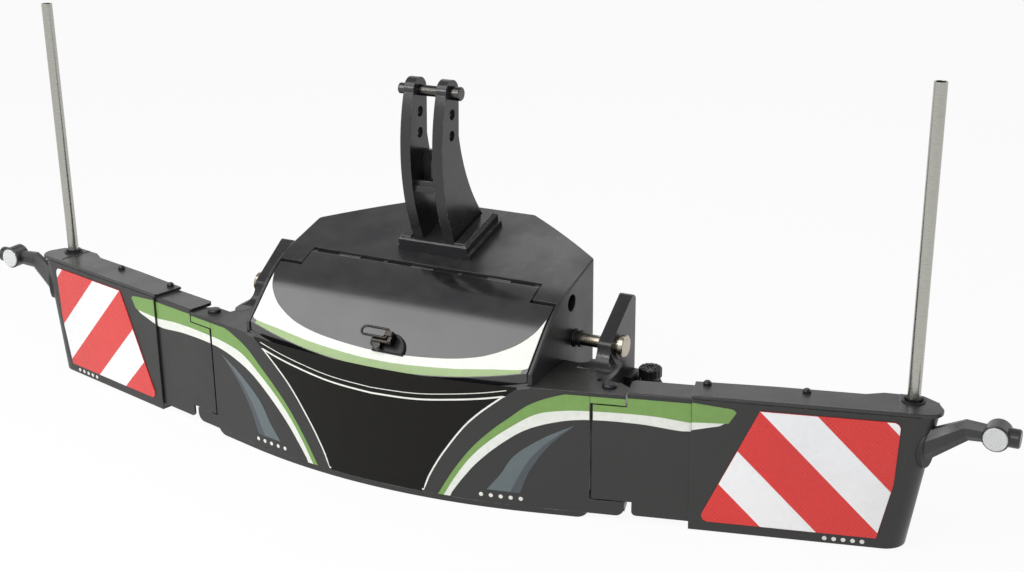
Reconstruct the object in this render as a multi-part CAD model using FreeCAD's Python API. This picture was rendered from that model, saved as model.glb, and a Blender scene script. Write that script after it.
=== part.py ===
import FreeCAD, Part
import math
import os

# Front bumper weight for a tractor's front three-point hitch.
# Millimetres. +X is the machine's side, -Y the front with the hazard boards, +Z up.
# The origin is under the middle of the machine, at the level of the ground.

V = FreeCAD.Vector

# Overall plan of the middle section
DEPTH = 520.0
BOW_RADIUS = 1560.0
PANEL_WALL = 8.0
PANEL_BOTTOM = 15.0
SHOULDER_TOP = 302.0
SHOULDER_REACH = 127.0
SEAT_GAP = 0.3

# Hood line in side view: a steep front slope, a round crest and a flatter rear slope
HOOD_REAR_Z = 532.0
HOOD_REAR_SLOPE = 14.5
HOOD_FRONT_SLOPE = 42.0
HOOD_CREST_Y = -77.0
HOOD_CREST_RADIUS = 300.0

# Ballast block
BLOCK_HALF = 376.0
BOW_MARGIN = 3.0
BLOCK_SIDE_END_Y = 118.0
BLOCK_REAR_HALF = 155.0
BLOCK_REAR_BULGE = 4.0
BLOCK_CORNER_RADIUS = 14.0
BLOCK_EDGE_RADIUS = 4.0
LIFT_HOLE_RADIUS = 20.0
LIFT_HOLE_DEPTH = 45.0
LIFT_HOLE_Y = -4.0
LIFT_HOLE_Z = 426.0

# Storage pocket, its tray and seal
POCKET_HALF = 280.0
POCKET_SETBACK = 42.0
POCKET_REAR_Y = -96.0
POCKET_FLOOR_Z = 130.0
TRAY_WALL = 3.0
TRAY_GAP = 0.3
SEAL_WIDTH = 10.0
SEAL_MARGIN = 4.0

# Lid
LID_HALF = 364.0
LID_SETBACK = 11.0
LID_SKIN = 4.0
LID_FLANGE = 16.0
LID_SIDE_GAP = 3.0
LEDGE_DEPTH = 18.0
LID_STEP_Y = -72.0
LID_STEP_SLOT = 10.0
LID_TONGUE_HALF = 304.0
LID_REAR_Y = -24.0
HINGE_SLOT = 16.0

# Lid hinge
HINGE_DEPTH = 8.0
HINGE_ROD_RADIUS = 4.0
HINGE_BARREL_RADIUS = 7.0
HINGE_PLAY = 0.05
HINGE_ROD_HALF = 304.0
KNUCKLE_LENGTH = 60.0
KNUCKLE_PITCH = 200.0
BEARING_WIDTH = 12.0

# Lid latch: heights count outwards from the lid's surface
LATCH_X = -4.0
LATCH_Y = -211.0
LATCH_SPINDLE_RADIUS = 7.0
LATCH_BASE_RADIUS = 41.0
LATCH_BASE_HEIGHT = 7.0
LATCH_BASE_SHIFT = 24.0
LATCH_BASE_FLAT = 9.0
LATCH_HUB_RADIUS = 9.0
LATCH_GRIP = (-16.0, 36.0, 6.0, 20.0)
LATCH_GRIP_LOW = 10.0
LATCH_GRIP_TOP = 24.0
LATCH_EYE_X = 21.7
LATCH_EYE_Y = 27.0
LATCH_EYE_WIDTH = 12.0
LATCH_EYE_TOP = 33.0
LATCH_LOOP_LENGTH = 73.0
LATCH_LOOP_WIDTH = 27.0
LATCH_LOOP_BAR = 2.8
LATCH_LOOP_CORNER = 4.0
LATCH_LOOP_HEIGHT = 28.5
LATCH_TONGUE_LENGTH = 58.0
LATCH_TONGUE_WIDTH = 20.0
LATCH_TONGUE_DEPTH = 38.0
LATCH_SLOT_PLAY = 4.0
LATCH_EDGE = 4.0
LATCH_GRIP_CHAMFER = 1.5
LATCH_EYE_RADIUS = 3.5

# Top-link mast
MAST_FRONT_Y = 34.0
MAST_BASE_HALF = 92.0
MAST_BASE_LENGTH = 168.0
MAST_BASE_HEIGHT = 34.0
MAST_STEP_HEIGHT = 13.0
MAST_STEP = 5.0
MAST_RAIL_WIDTH = 28.0
MAST_RAIL_HEIGHT = 5.0
CHEEK_THICK = 26.0
CHEEK_INNER = 29.0
CHEEK_HEAD_RADIUS = 30.0
CHEEK_FRONT_RADIUS = 463.0
CHEEK_FRONT_CENTRE = (452.0, 717.0)
CHEEK_REAR_RADIUS = 445.0
CHEEK_REAR_CENTRE = (505.0, 845.0)
CHEEK_WAIST_Z = 760.0
CROSS_PLATE_Z = 633.0
CROSS_PLATE_THICK = 14.0
CROSS_LIP_HEIGHT = 26.0
CROSS_LIP_SETBACK = 6.0
CROSS_LIP_THICK = 10.0
BACK_PLATE_TOP_Z = 724.0
BACK_PLATE_THICK = 12.0
BACK_PLATE_FRAME = 15.0
TOP_PIN_Y = 42.0
TOP_PIN_Z = 864.0
TOP_PIN_RADIUS = 12.7
TOP_PIN_REACH = 82.0
TOP_PIN_HEAD_RADIUS = 16.0
TOP_PIN_HEAD_LENGTH = 24.0
CLIP_HOLE_RADIUS = 2.794
TOP_HOLE_PITCH = 49.0
TOP_HOLE_LEAN = 3.0
PIN_PLAY = 0.06

# Lower hitch: ears and pins, for links whose balls sit about 825 mm apart
LINK_GAP = 73.5
EAR_THICK = 32.0
EAR_FRONT_Y = -25.0
EAR_REAR_Y = 115.0
EAR_FOOT_Z = 60.0
EAR_SHOULDER_Z = 350.0
EAR_TOP_Z = 431.0
EAR_TOP_Y = 99.0
EAR_TOP_RADIUS = 12.0
LOWER_PIN_Y = 18.0
LOWER_PIN_Z = 335.0
LOWER_PIN_RADIUS = 14.35
LOWER_PIN_DEPTH = 21.0
LOWER_HEAD_RADIUS = 25.5
LOWER_HEAD_LENGTH = 12.0
LOWER_COLLAR_RADIUS = 22.5
LOWER_COLLAR_LENGTH = 7.0
BOSS_RADIUS = 19.0
BOSS_LENGTH = 6.0

# Side bracket behind each shoulder
BRACKET_REAR_Y = -40.0
BRACKET_BOTTOM = 45.0
BRACKET_MARGIN = 3.0
BASE_LOW_Z = 70.0
BASE_TOP_Z = 225.0
LUG_THICK = 16.0
GUSSET_HEIGHT = 44.0
GUSSET_REACH = 20.0
GUSSET_WIDTH = 20.0
TOE_RADIUS = 44.0
TOE_INNER_RADIUS = 36.0
TOE_REAR_GAP = 3.0
ARM_START_S = -80.0
ARM_DEPTH = 200.0
LUG_LAP = 60.0
SHOULDER_CUT = 30.0

# Wing, in its own frame: s runs out along the panel, d runs back from its face.
# A value in _OUT counts from the inner end of the wing.
WING_GAP = 5.17
WING_HINGE_OUT = 30.0
WING_HINGE_D = 41.0
TONGUE_END_OUT = 72.0
TONGUE_LIP = 24.0
LIP_CORNER = 20.0
TONGUE_PLAY = 3.0
WING_DROP_OUT = 88.0
WING_STEP_OUT = 213.0
WING_END_OUT = 719.0
WING_INNER_BOTTOM = 19.0
WING_OUTER_BOTTOM = 4.0
WING_END_RAKE = 0.155
WING_SKIN = 5.0
WING_TOP = 316.0
WING_TOP_PLATE = 8.0
WING_DEPTH = 85.0
WING_END_DEPTH = 100.0
WING_PROUD = 6.0
WING_RIM = 8.0
WING_RIM_SINK = 1.5
WING_SETBACK = 2.0
WING_END_OVERHANG = 6.0
WING_END_RADIUS = 48.0
WING_LAP = 60.0
WING_TOP_LAP = 2.0
WING_TOP_NOTCH = 6.0
WING_TOP_BROAD_OUT = 170.0
WING_TOP_TAPER = (158.0, 120.0)
WING_TOP_CUTS = ((40.0, 3.0), (10.0, 32.0))
WING_TOP_SIDE_D = 35.0
WING_TOP_REAR_RADIUS = 14.0
WING_TOP_EDGE_RADIUS = 2.5
WING_FIELD_RADIUS = 16.0
WING_DROP_RADIUS = 10.0
INNER_TOP_SETBACK = 12.0
INNER_TOP_RADIUS = 12.0
WING_ARM_HEIGHT = 90.0
WING_ARM_WIDTH = 50.0
WING_ARM_Z = 150.0
WING_ARM_END_OUT = 637.0
WING_ARM_WALL = 6.0
KNUCKLE_LAP = 2.0
KNUCKLE_TAB_SHORT = 20.0
RIB_THICK = 8.0
RIB_MARGIN = 10.0
RIB_AWAY = 90.0
RIB_NEAR = 20.0
RIB_END = 12.0
KNUCKLE_RADIUS = 24.0
WING_PIN_RADIUS = 12.0
WING_PIN_HEAD_RADIUS = 16.0
WING_PIN_HEAD_HEIGHT = 8.0

# Wing fittings
TOP_BOLT_OUT = (237.0, 446.0)
TOP_BOLT_D = 66.0
TOP_BOLT_RADIUS = 9.0
TOP_BOLT_HEIGHT = 9.0
TOP_BOLT_LENGTH = 30.0
BOARD_THICK = 2.0
BOARD_BOTTOM = 27.0
BOARD_TOP = 295.0
BOARD_INNER_TOP_OUT = 355.0
BOARD_INNER_BOTTOM_OUT = 233.0
BOARD_OUTER_TOP_OUT = 641.0
BOARD_OUTER_MID_OUT = 635.0
BOARD_OUTER_MID_Z = 155.0
BOARD_OUTER_BOTTOM_OUT = 608.0
BOARD_CORNER = 14.0
POLE_OUT = 664.0
POLE_D = 66.0
POLE_RADIUS = 14.0
POLE_BORE = 11.0
POLE_TOP_Z = 987.0
POLE_NUT_RADIUS = 19.0
POLE_NUT_HEIGHT = 9.0
LAMP_RADIUS = 28.0
LAMP_LENS_RADIUS = 25.0
LAMP_HOUSING_DEPTH = 48.0
LAMP_LENS_THICK = 5.0
LAMP_SIDE_RADIUS = 20.0
LAMP_SIDE_REACH = 46.0
LAMP_OUT = 823.0
LAMP_D = -35.0
LAMP_Z = 289.0
ARM_ROOT_OUT = 691.0
ARM_ROOT_D = 15.0
ARM_ROOT_Z = 233.0
ARM_ELBOW_OUT = 772.0
ARM_ELBOW_D = 14.0
ARM_ELBOW_Z = 284.0
ARM_ROOT_SIZE = (34.0, 74.0)
ARM_ELBOW_SIZE = (30.0, 42.0)
ARM_END_SIZE = (26.0, 34.0)
BOOT_SIZE = (50.0, 92.0)
BOOT_TURN = 40.0

# Lamp socket beside the right ear, for the tractor's cable
SOCKET_REACH = 44.5
SOCKET_Y = 103.0
SOCKET_TOP_Z = 244.0
SOCKET_RADIUS = 21.0
SOCKET_HEIGHT = 46.0
SOCKET_CAP_RADIUS = 27.0
SOCKET_CAP_HEIGHT = 20.0
SOCKET_CAP_SKIRT = 6.0
CAP_BARREL_RADIUS = 4.0
CAP_BARREL_LENGTH = 16.0
CAP_PIN_RADIUS = 1.6
CAP_LUG_WIDTH = 5.0
SOCKET_PLATE = 6.0

# Values that follow from the ones above
NOSE_Y = -DEPTH / 2
REAR_Y = DEPTH / 2
BOW_CENTRE_Y = NOSE_Y + BOW_RADIUS
BOW_HALF = BLOCK_HALF + BOW_MARGIN
SWEEP = math.asin(BOW_HALF / BOW_RADIUS)
PANEL_REACH = BLOCK_HALF + SHOULDER_REACH
BRACKET_END = PANEL_REACH - BRACKET_MARGIN
EAR_INNER = BLOCK_HALF + LINK_GAP
EAR_OUTER = EAR_INNER + EAR_THICK
SOCKET_X = EAR_OUTER + SOCKET_REACH
WING_GAP_S = (PANEL_REACH - BOW_HALF) / math.cos(SWEEP) + WING_GAP
WING_HINGE_S = WING_GAP_S + WING_HINGE_OUT
TONGUE_END_S = WING_GAP_S + TONGUE_END_OUT
WING_DROP_S = WING_GAP_S + WING_DROP_OUT
WING_STEP_S = WING_GAP_S + WING_STEP_OUT
WING_END_S = WING_GAP_S + WING_END_OUT
WING_ARM_END_S = WING_GAP_S + WING_ARM_END_OUT
BOARD_INNER_TOP_S = WING_GAP_S + BOARD_INNER_TOP_OUT
BOARD_INNER_BOTTOM_S = WING_GAP_S + BOARD_INNER_BOTTOM_OUT
BOARD_OUTER_TOP_S = WING_GAP_S + BOARD_OUTER_TOP_OUT
BOARD_OUTER_MID_S = WING_GAP_S + BOARD_OUTER_MID_OUT
BOARD_OUTER_BOTTOM_S = WING_GAP_S + BOARD_OUTER_BOTTOM_OUT
POLE_S = WING_GAP_S + POLE_OUT
LAMP_S = WING_GAP_S + LAMP_OUT
ARM_ROOT_S = WING_GAP_S + ARM_ROOT_OUT
ARM_ELBOW_S = WING_GAP_S + ARM_ELBOW_OUT
TOP_BOLT_S = tuple(WING_GAP_S + out for out in TOP_BOLT_OUT)
FAR = 2000.0


def box(x0, x1, y0, y1, z0, z1):
    """A box between two corners."""
    return Part.makeBox(x1 - x0, y1 - y0, z1 - z0, V(x0, y0, z0))


def rod(start, end, radius):
    """A round bar from one point to another."""
    line = end - start
    return Part.makeCylinder(radius, line.Length, start, line)


def prism(points, z0, z1):
    """A straight-sided plan outline raised from z0 to z1."""
    corners = [V(x, y, z0) for x, y in points]
    face = Part.Face(Part.makePolygon(corners + corners[:1]))
    return face.extrude(V(0, 0, z1 - z0))


def plate_yz(edges, x0, x1):
    """A side-view outline, drawn at x = 0, as a plate from x0 to x1."""
    face = Part.Face(Part.Wire(edges))
    face.translate(V(x0, 0, 0))
    return face.extrude(V(x1 - x0, 0, 0))


def edges_between(shape, test):
    """The edges of a shape whose centre passes a test."""
    return [edge for edge in shape.Edges if test(edge)]


def upright(edge):
    """True for a straight edge that runs along Z."""
    ends = edge.Vertexes
    if len(ends) != 2:
        return False
    line = ends[1].Point - ends[0].Point
    return abs(line.x) < 1e-6 and abs(line.y) < 1e-6


def mirrored(shape):
    """The same piece on the other side of the machine."""
    return shape.mirror(V(0, 0, 0), V(1, 0, 0))


def save(name, shape):
    """Write one piece as parts/NAME.step."""
    solids = shape.Solids
    result = solids[0] if len(solids) == 1 else Part.makeCompound(solids)
    result.exportStep(os.path.join("parts", name + ".step"))


def save_pair(name, shape):
    """Write a right-hand piece and its left-hand twin."""
    save(name + "_right", shape)
    save(name + "_left", mirrored(shape))


# Plan curve of the bumper's face: a shallow bow with straight swept ends

def bow_point(setback, reach):
    """A point on the swept line at a setback behind the face; reach is its x on the face."""
    radius = BOW_RADIUS - setback
    along = (reach - BOW_HALF) / math.cos(SWEEP)
    x = radius * math.sin(SWEEP) + along * math.cos(SWEEP)
    y = BOW_CENTRE_Y - radius * math.cos(SWEEP) + along * math.sin(SWEEP)
    return V(x, y, 0)


def bow_edges(setback, reach):
    """The plan curve from the left end to the right end."""
    end = bow_point(setback, reach)
    tangent = bow_point(setback, BOW_HALF)
    nose = V(0, NOSE_Y + setback, 0)
    left_end = V(-end.x, end.y, 0)
    left_tangent = V(-tangent.x, tangent.y, 0)
    arc = Part.Arc(left_tangent, nose, tangent).toShape()
    first = Part.makeLine(left_end, left_tangent)
    last = Part.makeLine(tangent, end)
    return [first, arc, last]


def bow_strip(front, back, reach, z0, z1):
    """A sheet that follows the plan curve, between two setbacks."""
    outer = bow_edges(front, reach)
    inner = bow_edges(back, reach)
    ends = []
    for side in (-1, 1):
        near = bow_point(front, reach)
        far = bow_point(back, reach)
        ends.append(Part.makeLine(V(side * near.x, near.y, 0), V(side * far.x, far.y, 0)))
    wire = Part.Wire(Part.__sortEdges__(outer + inner + ends))
    sheet = Part.Face(wire).extrude(V(0, 0, z1 - z0))
    sheet.translate(V(0, 0, z0))
    return sheet


def behind_bow(setback, z0, z1):
    """Everything behind the plan curve, as a cutting tool."""
    return bow_strip(setback, BOW_RADIUS * 0.6, BOW_HALF * 1.6, z0, z1)


# Hood line in side view

def hood_frame():
    """Crest centre and the two slope directions, in the YZ plane."""
    front = math.radians(HOOD_FRONT_SLOPE)
    rear = math.radians(HOOD_REAR_SLOPE)
    crest_z = HOOD_REAR_Z - math.tan(rear) * (REAR_Y - HOOD_CREST_Y)
    turn = front - rear
    reach = HOOD_CREST_RADIUS * math.tan(turn / 2)
    rear_dir = V(0, math.cos(rear), math.sin(rear))
    rear_in = V(0, math.sin(rear), -math.cos(rear))
    front_dir = V(0, math.cos(front), math.sin(front))
    front_in = V(0, math.sin(front), -math.cos(front))
    centre = V(0, HOOD_CREST_Y, crest_z) + rear_dir * reach + rear_in * HOOD_CREST_RADIUS
    return centre, front_dir, front_in, rear_dir, rear_in


def hood_solid(depth, half=FAR, floor=-50.0):
    """The space under the hood line, offset inwards by depth."""
    centre, front_dir, front_in, rear_dir, rear_in = hood_frame()
    radius = HOOD_CREST_RADIUS - depth
    front_tangent = centre - front_in * radius
    rear_tangent = centre - rear_in * radius
    middle_in = (front_in + rear_in).normalize()
    crest = centre - middle_in * radius
    start = front_tangent - front_dir * ((front_tangent.y - 1.5 * NOSE_Y) / front_dir.y)
    end = rear_tangent + rear_dir * ((1.5 * REAR_Y - rear_tangent.y) / rear_dir.y)
    edges = [
        Part.makeLine(start, front_tangent),
        Part.Arc(front_tangent, crest, rear_tangent).toShape(),
        Part.makeLine(rear_tangent, end),
        Part.makeLine(end, V(0, end.y, floor)),
        Part.makeLine(V(0, end.y, floor), V(0, start.y, floor)),
        Part.makeLine(V(0, start.y, floor), start),
    ]
    return plate_yz(edges, -half, half)


def hood_z(y, depth=0.0):
    """Height of the offset hood line at y."""
    centre, front_dir, front_in, rear_dir, rear_in = hood_frame()
    radius = HOOD_CREST_RADIUS - depth
    front_tangent = centre - front_in * radius
    rear_tangent = centre - rear_in * radius
    if y < front_tangent.y:
        return front_tangent.z + (y - front_tangent.y) * front_dir.z / front_dir.y
    if y > rear_tangent.y:
        return rear_tangent.z + (y - rear_tangent.y) * rear_dir.z / rear_dir.y
    return centre.z + math.sqrt(radius ** 2 - (y - centre.y) ** 2)


# Lid outline in plan: a wide front part and a narrower tongue that reaches the hinge slot

def lid_outline(margin, setback, slot):
    """Plan prism of the lid, grown by a side margin, a setback at the bow and a rear slot."""
    half = LID_HALF + margin
    tongue = LID_TONGUE_HALF + margin
    step_y = LID_STEP_Y + slot * LID_STEP_SLOT / HINGE_SLOT
    rear_y = LID_REAR_Y + slot
    front_y = 1.5 * NOSE_Y
    points = [
        (-half, front_y), (half, front_y), (half, step_y), (tongue, step_y),
        (tongue, rear_y), (-tongue, rear_y), (-tongue, step_y), (-half, step_y),
    ]
    outline = prism(points, 0, FAR / 2)
    return outline.common(behind_bow(setback, 0, FAR / 2))


def hinge_axis():
    """A point on the lid's hinge line."""
    y = LID_REAR_Y + HINGE_SLOT / 2
    return V(0, y, hood_z(y, HINGE_DEPTH))


def make_block():
    """Ballast block with its lid recess, pocket, hinge slot and lifting holes."""
    side_end = V(BLOCK_HALF, BLOCK_SIDE_END_Y, 0)
    rear_end = V(BLOCK_REAR_HALF, REAR_Y, 0)
    slant = (rear_end - side_end).normalize()
    middle = (side_end + rear_end) * 0.5 + V(slant.y, -slant.x, 0) * BLOCK_REAR_BULGE
    front_end = V(BLOCK_HALF, 1.5 * NOSE_Y, 0)
    half = [Part.makeLine(front_end, side_end), Part.Arc(side_end, middle, rear_end).toShape()]
    joining = [
        Part.makeLine(rear_end, V(-rear_end.x, rear_end.y, 0)),
        Part.makeLine(front_end, V(-front_end.x, front_end.y, 0)),
    ]
    outline = Part.Wire(Part.__sortEdges__(half + [mirrored(edge) for edge in half] + joining))
    plan = Part.Face(outline).extrude(V(0, 0, FAR / 2))
    corners = edges_between(plan, lambda e: upright(e) and e.CenterOfMass.y > 0)
    plan = plan.makeFillet(BLOCK_CORNER_RADIUS, corners)
    block = plan.common(behind_bow(PANEL_WALL + SEAT_GAP, -1, FAR / 2)).common(hood_solid(0.0, FAR, 0.0))
    top_edges = edges_between(
        block, lambda e: e.CenterOfMass.z > hood_z(LID_REAR_Y) and not upright(e)
        and (abs(e.CenterOfMass.x) > BLOCK_HALF / 2 or e.CenterOfMass.y > BLOCK_SIDE_END_Y)
    )
    block = block.makeFillet(BLOCK_EDGE_RADIUS, top_edges)
    recess = lid_outline(LID_SIDE_GAP, 0.0, HINGE_SLOT).cut(hood_solid(LEDGE_DEPTH))
    block = block.cut(recess).cut(pocket_prism(0.0, POCKET_FLOOR_Z)).cut(latch_slot())
    for side in (-1, 1):
        face_x = side * BLOCK_HALF
        lift_end = V(face_x - side * LIFT_HOLE_DEPTH, LIFT_HOLE_Y, LIFT_HOLE_Z)
        block = block.cut(rod(V(face_x + side, LIFT_HOLE_Y, LIFT_HOLE_Z), lift_end, LIFT_HOLE_RADIUS))
        pin_end = V(face_x - side * LOWER_PIN_DEPTH, LOWER_PIN_Y, LOWER_PIN_Z)
        pin_hole = rod(V(face_x + side, LOWER_PIN_Y, LOWER_PIN_Z), pin_end, LOWER_PIN_RADIUS + PIN_PLAY)
        block = block.cut(pin_hole)
    return block


def pocket_prism(grow, floor):
    """Plan prism of the storage pocket, grown by a margin; its front wall follows the bow."""
    half = POCKET_HALF + grow
    plan = box(-half, half, 1.5 * NOSE_Y, POCKET_REAR_Y + grow, floor, FAR / 2)
    return plan.common(behind_bow(POCKET_SETBACK - grow, floor, FAR / 2))


def latch_slot():
    """Room for the latch tongue under the front edge of the pocket."""
    low = -LATCH_TONGUE_DEPTH - LATCH_SLOT_PLAY
    high = -LATCH_TONGUE_DEPTH + LID_SKIN + LATCH_SLOT_PLAY
    reach = LATCH_TONGUE_LENGTH + LATCH_SLOT_PLAY
    return on_lid(Part.makeCylinder(reach, high - low, V(0, 0, low)))


def make_tray():
    """Sheet liner of the pocket, cut off along the ledge."""
    outer = pocket_prism(-TRAY_GAP, POCKET_FLOOR_Z)
    inner = pocket_prism(-TRAY_GAP - TRAY_WALL, POCKET_FLOOR_Z + TRAY_WALL)
    return outer.cut(inner).common(hood_solid(LEDGE_DEPTH)).cut(latch_slot())


def make_seal():
    """Rubber strip on the ledge round the pocket."""
    ring = pocket_prism(SEAL_MARGIN + SEAL_WIDTH, 0).cut(pocket_prism(SEAL_MARGIN, 0))
    return ring.common(hood_solid(LID_SKIN + SEAT_GAP)).cut(hood_solid(LEDGE_DEPTH))


def make_lid():
    """Pressed hood: skin, flange all round and three hinge knuckles."""
    shell = lid_outline(0.0, LID_SETBACK, 0.0).common(hood_solid(0.0)).cut(hood_solid(LID_FLANGE))
    hollow = lid_outline(-LID_SKIN, LID_SETBACK + LID_SKIN, -LID_SKIN).common(hood_solid(LID_SKIN))
    lid = shell.cut(hollow)
    axis = hinge_axis()
    web_y = LID_REAR_Y - LID_SKIN / 2
    for place in (-1, 0, 1):
        middle = place * KNUCKLE_PITCH
        start = V(middle - KNUCKLE_LENGTH / 2, axis.y, axis.z)
        end = V(middle + KNUCKLE_LENGTH / 2, axis.y, axis.z)
        half_web = HINGE_ROD_RADIUS * 0.75
        web = box(start.x, end.x, web_y, axis.y, axis.z - half_web, axis.z + half_web)
        lid = lid.fuse(rod(start, end, HINGE_BARREL_RADIUS)).fuse(web)
        lid = lid.cut(rod(start - V(1, 0, 0), end + V(1, 0, 0), HINGE_ROD_RADIUS + HINGE_PLAY))
    return lid.cut(on_lid(spindle_hole())).removeSplitter()


def make_hinge_rod():
    """Long rod that the lid swings on."""
    axis = hinge_axis()
    return rod(V(-HINGE_ROD_HALF, axis.y, axis.z), V(HINGE_ROD_HALF, axis.y, axis.z), HINGE_ROD_RADIUS)


def make_bearings():
    """Four lugs on the ledge that carry the rod between the knuckles."""
    axis = hinge_axis()
    outer_place = HINGE_ROD_HALF - BEARING_WIDTH / 2
    lugs = []
    for middle in (-outer_place, -KNUCKLE_PITCH / 2, KNUCKLE_PITCH / 2, outer_place):
        start = V(middle - BEARING_WIDTH / 2, axis.y, axis.z)
        end = V(middle + BEARING_WIDTH / 2, axis.y, axis.z)
        half = HINGE_BARREL_RADIUS - 1
        foot = box(start.x, end.x, axis.y - half, axis.y + half, axis.z - 2 * LEDGE_DEPTH, axis.z)
        lug = rod(start, end, HINGE_BARREL_RADIUS).fuse(foot.cut(hood_solid(LEDGE_DEPTH)))
        lug = lug.cut(rod(start - V(1, 0, 0), end + V(1, 0, 0), HINGE_ROD_RADIUS))
        lugs.append(lug)
    return Part.makeCompound(lugs)


# Latch, drawn upright at the origin and then laid square on the lid's front slope

def on_lid(shape):
    """Move a piece drawn upright at the origin to the latch's foot on the lid."""
    placed = shape.copy()
    placed.rotate(V(0, 0, 0), V(1, 0, 0), HOOD_FRONT_SLOPE)
    placed.translate(V(LATCH_X, LATCH_Y, hood_z(LATCH_Y)))
    return placed


def spindle_hole():
    """The spindle's way through lid and base."""
    radius = LATCH_SPINDLE_RADIUS + PIN_PLAY
    return Part.makeCylinder(radius, LATCH_TONGUE_DEPTH, V(0, 0, -LATCH_TONGUE_DEPTH / 2))


def make_latch_base():
    """Round escutcheon with one flat side and the spindle's hole."""
    base = Part.makeCylinder(LATCH_BASE_RADIUS, LATCH_BASE_HEIGHT, V(LATCH_BASE_SHIFT, 0, 0))
    base = base.cut(box(-FAR, FAR, -FAR, -LATCH_BASE_FLAT, -1, LATCH_BASE_HEIGHT + 1))
    top = edges_between(base, lambda e: e.CenterOfMass.z > LATCH_BASE_HEIGHT * 0.9)
    base = base.makeChamfer(LATCH_BASE_HEIGHT * 0.4, top)
    return on_lid(base.cut(spindle_hole()))


def loop_pivot():
    """The loop's hinge line runs up the slope through this point, in the latch's own frame."""
    return V(LATCH_EYE_X, LATCH_EYE_Y, LATCH_LOOP_HEIGHT)


def make_latch_neck():
    """Turning part: hub, grip and eye outside, spindle through the lid, tongue inside."""
    low = LATCH_BASE_HEIGHT + SEAT_GAP
    left, right, down, up = LATCH_GRIP
    half_eye = LATCH_EYE_WIDTH / 2
    pivot = loop_pivot()
    eye_low = LATCH_GRIP_TOP - LATCH_EDGE
    rise_top = LATCH_EYE_TOP - LATCH_EDGE
    hub = Part.makeCylinder(LATCH_HUB_RADIUS, eye_low - low, V(0, 0, low))
    grip = box(left, right, down, up, LATCH_GRIP_LOW, LATCH_GRIP_TOP)
    rounded = edges_between(grip, upright)
    grip = grip.makeFillet((up - down) * 0.35, rounded)
    rim = edges_between(grip, lambda e: e.CenterOfMass.z > LATCH_GRIP_TOP - 0.1)
    grip = grip.makeChamfer(LATCH_GRIP_CHAMFER, rim)
    eye = box(pivot.x - half_eye, right, pivot.y - half_eye, pivot.y + half_eye, eye_low, LATCH_EYE_TOP)
    corners = edges_between(
        eye, lambda e: e.CenterOfMass.z > LATCH_EYE_TOP - 0.1 and abs(e.CenterOfMass.y - pivot.y) < 0.1
    )
    eye = eye.makeFillet(LATCH_EYE_RADIUS, corners)
    rise_left = right - LATCH_EYE_WIDTH * 0.75
    rise = box(rise_left, right, down + 2, pivot.y + half_eye, LATCH_GRIP_LOW, rise_top)
    bore = rod(
        pivot - V(0, LATCH_EYE_WIDTH, 0), pivot + V(0, LATCH_EYE_WIDTH, 0), LATCH_LOOP_BAR + PIN_PLAY
    )
    spindle_length = LATCH_TONGUE_DEPTH + low + 2
    spindle = Part.makeCylinder(LATCH_SPINDLE_RADIUS, spindle_length, V(0, 0, -LATCH_TONGUE_DEPTH))
    tongue = box(
        -LATCH_TONGUE_LENGTH, LATCH_SPINDLE_RADIUS * 1.5, -LATCH_TONGUE_WIDTH / 2, LATCH_TONGUE_WIDTH / 2,
        -LATCH_TONGUE_DEPTH, -LATCH_TONGUE_DEPTH + LID_SKIN
    )
    return on_lid(hub.fuse([grip, eye, rise, spindle, tongue]).cut(bore).removeSplitter())


def make_latch_loop():
    """Oval finger loop of round bar; its straight near side turns in the eye."""
    pivot = loop_pivot()
    half = LATCH_LOOP_WIDTH / 2 - LATCH_LOOP_BAR
    turn = LATCH_LOOP_CORNER
    bend = turn * (1 - math.sqrt(0.5))
    far = -(LATCH_LOOP_LENGTH - 2 * LATCH_LOOP_BAR - half)
    path = Part.Wire([
        Part.makeLine(V(0, turn - half, 0), V(0, half - turn, 0)),
        Part.Arc(V(0, half - turn, 0), V(-bend, half - bend, 0), V(-turn, half, 0)).toShape(),
        Part.makeLine(V(-turn, half, 0), V(far, half, 0)),
        Part.Arc(V(far, half, 0), V(far - half, 0, 0), V(far, -half, 0)).toShape(),
        Part.makeLine(V(far, -half, 0), V(-turn, -half, 0)),
        Part.Arc(V(-turn, -half, 0), V(-bend, bend - half, 0), V(0, turn - half, 0)).toShape(),
    ])
    ring = Part.Wire(Part.makeCircle(LATCH_LOOP_BAR, V(0, turn - half, 0), V(0, 1, 0)))
    loop = path.makePipeShell([ring], True, False)
    loop.translate(pivot)
    return on_lid(loop)


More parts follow.
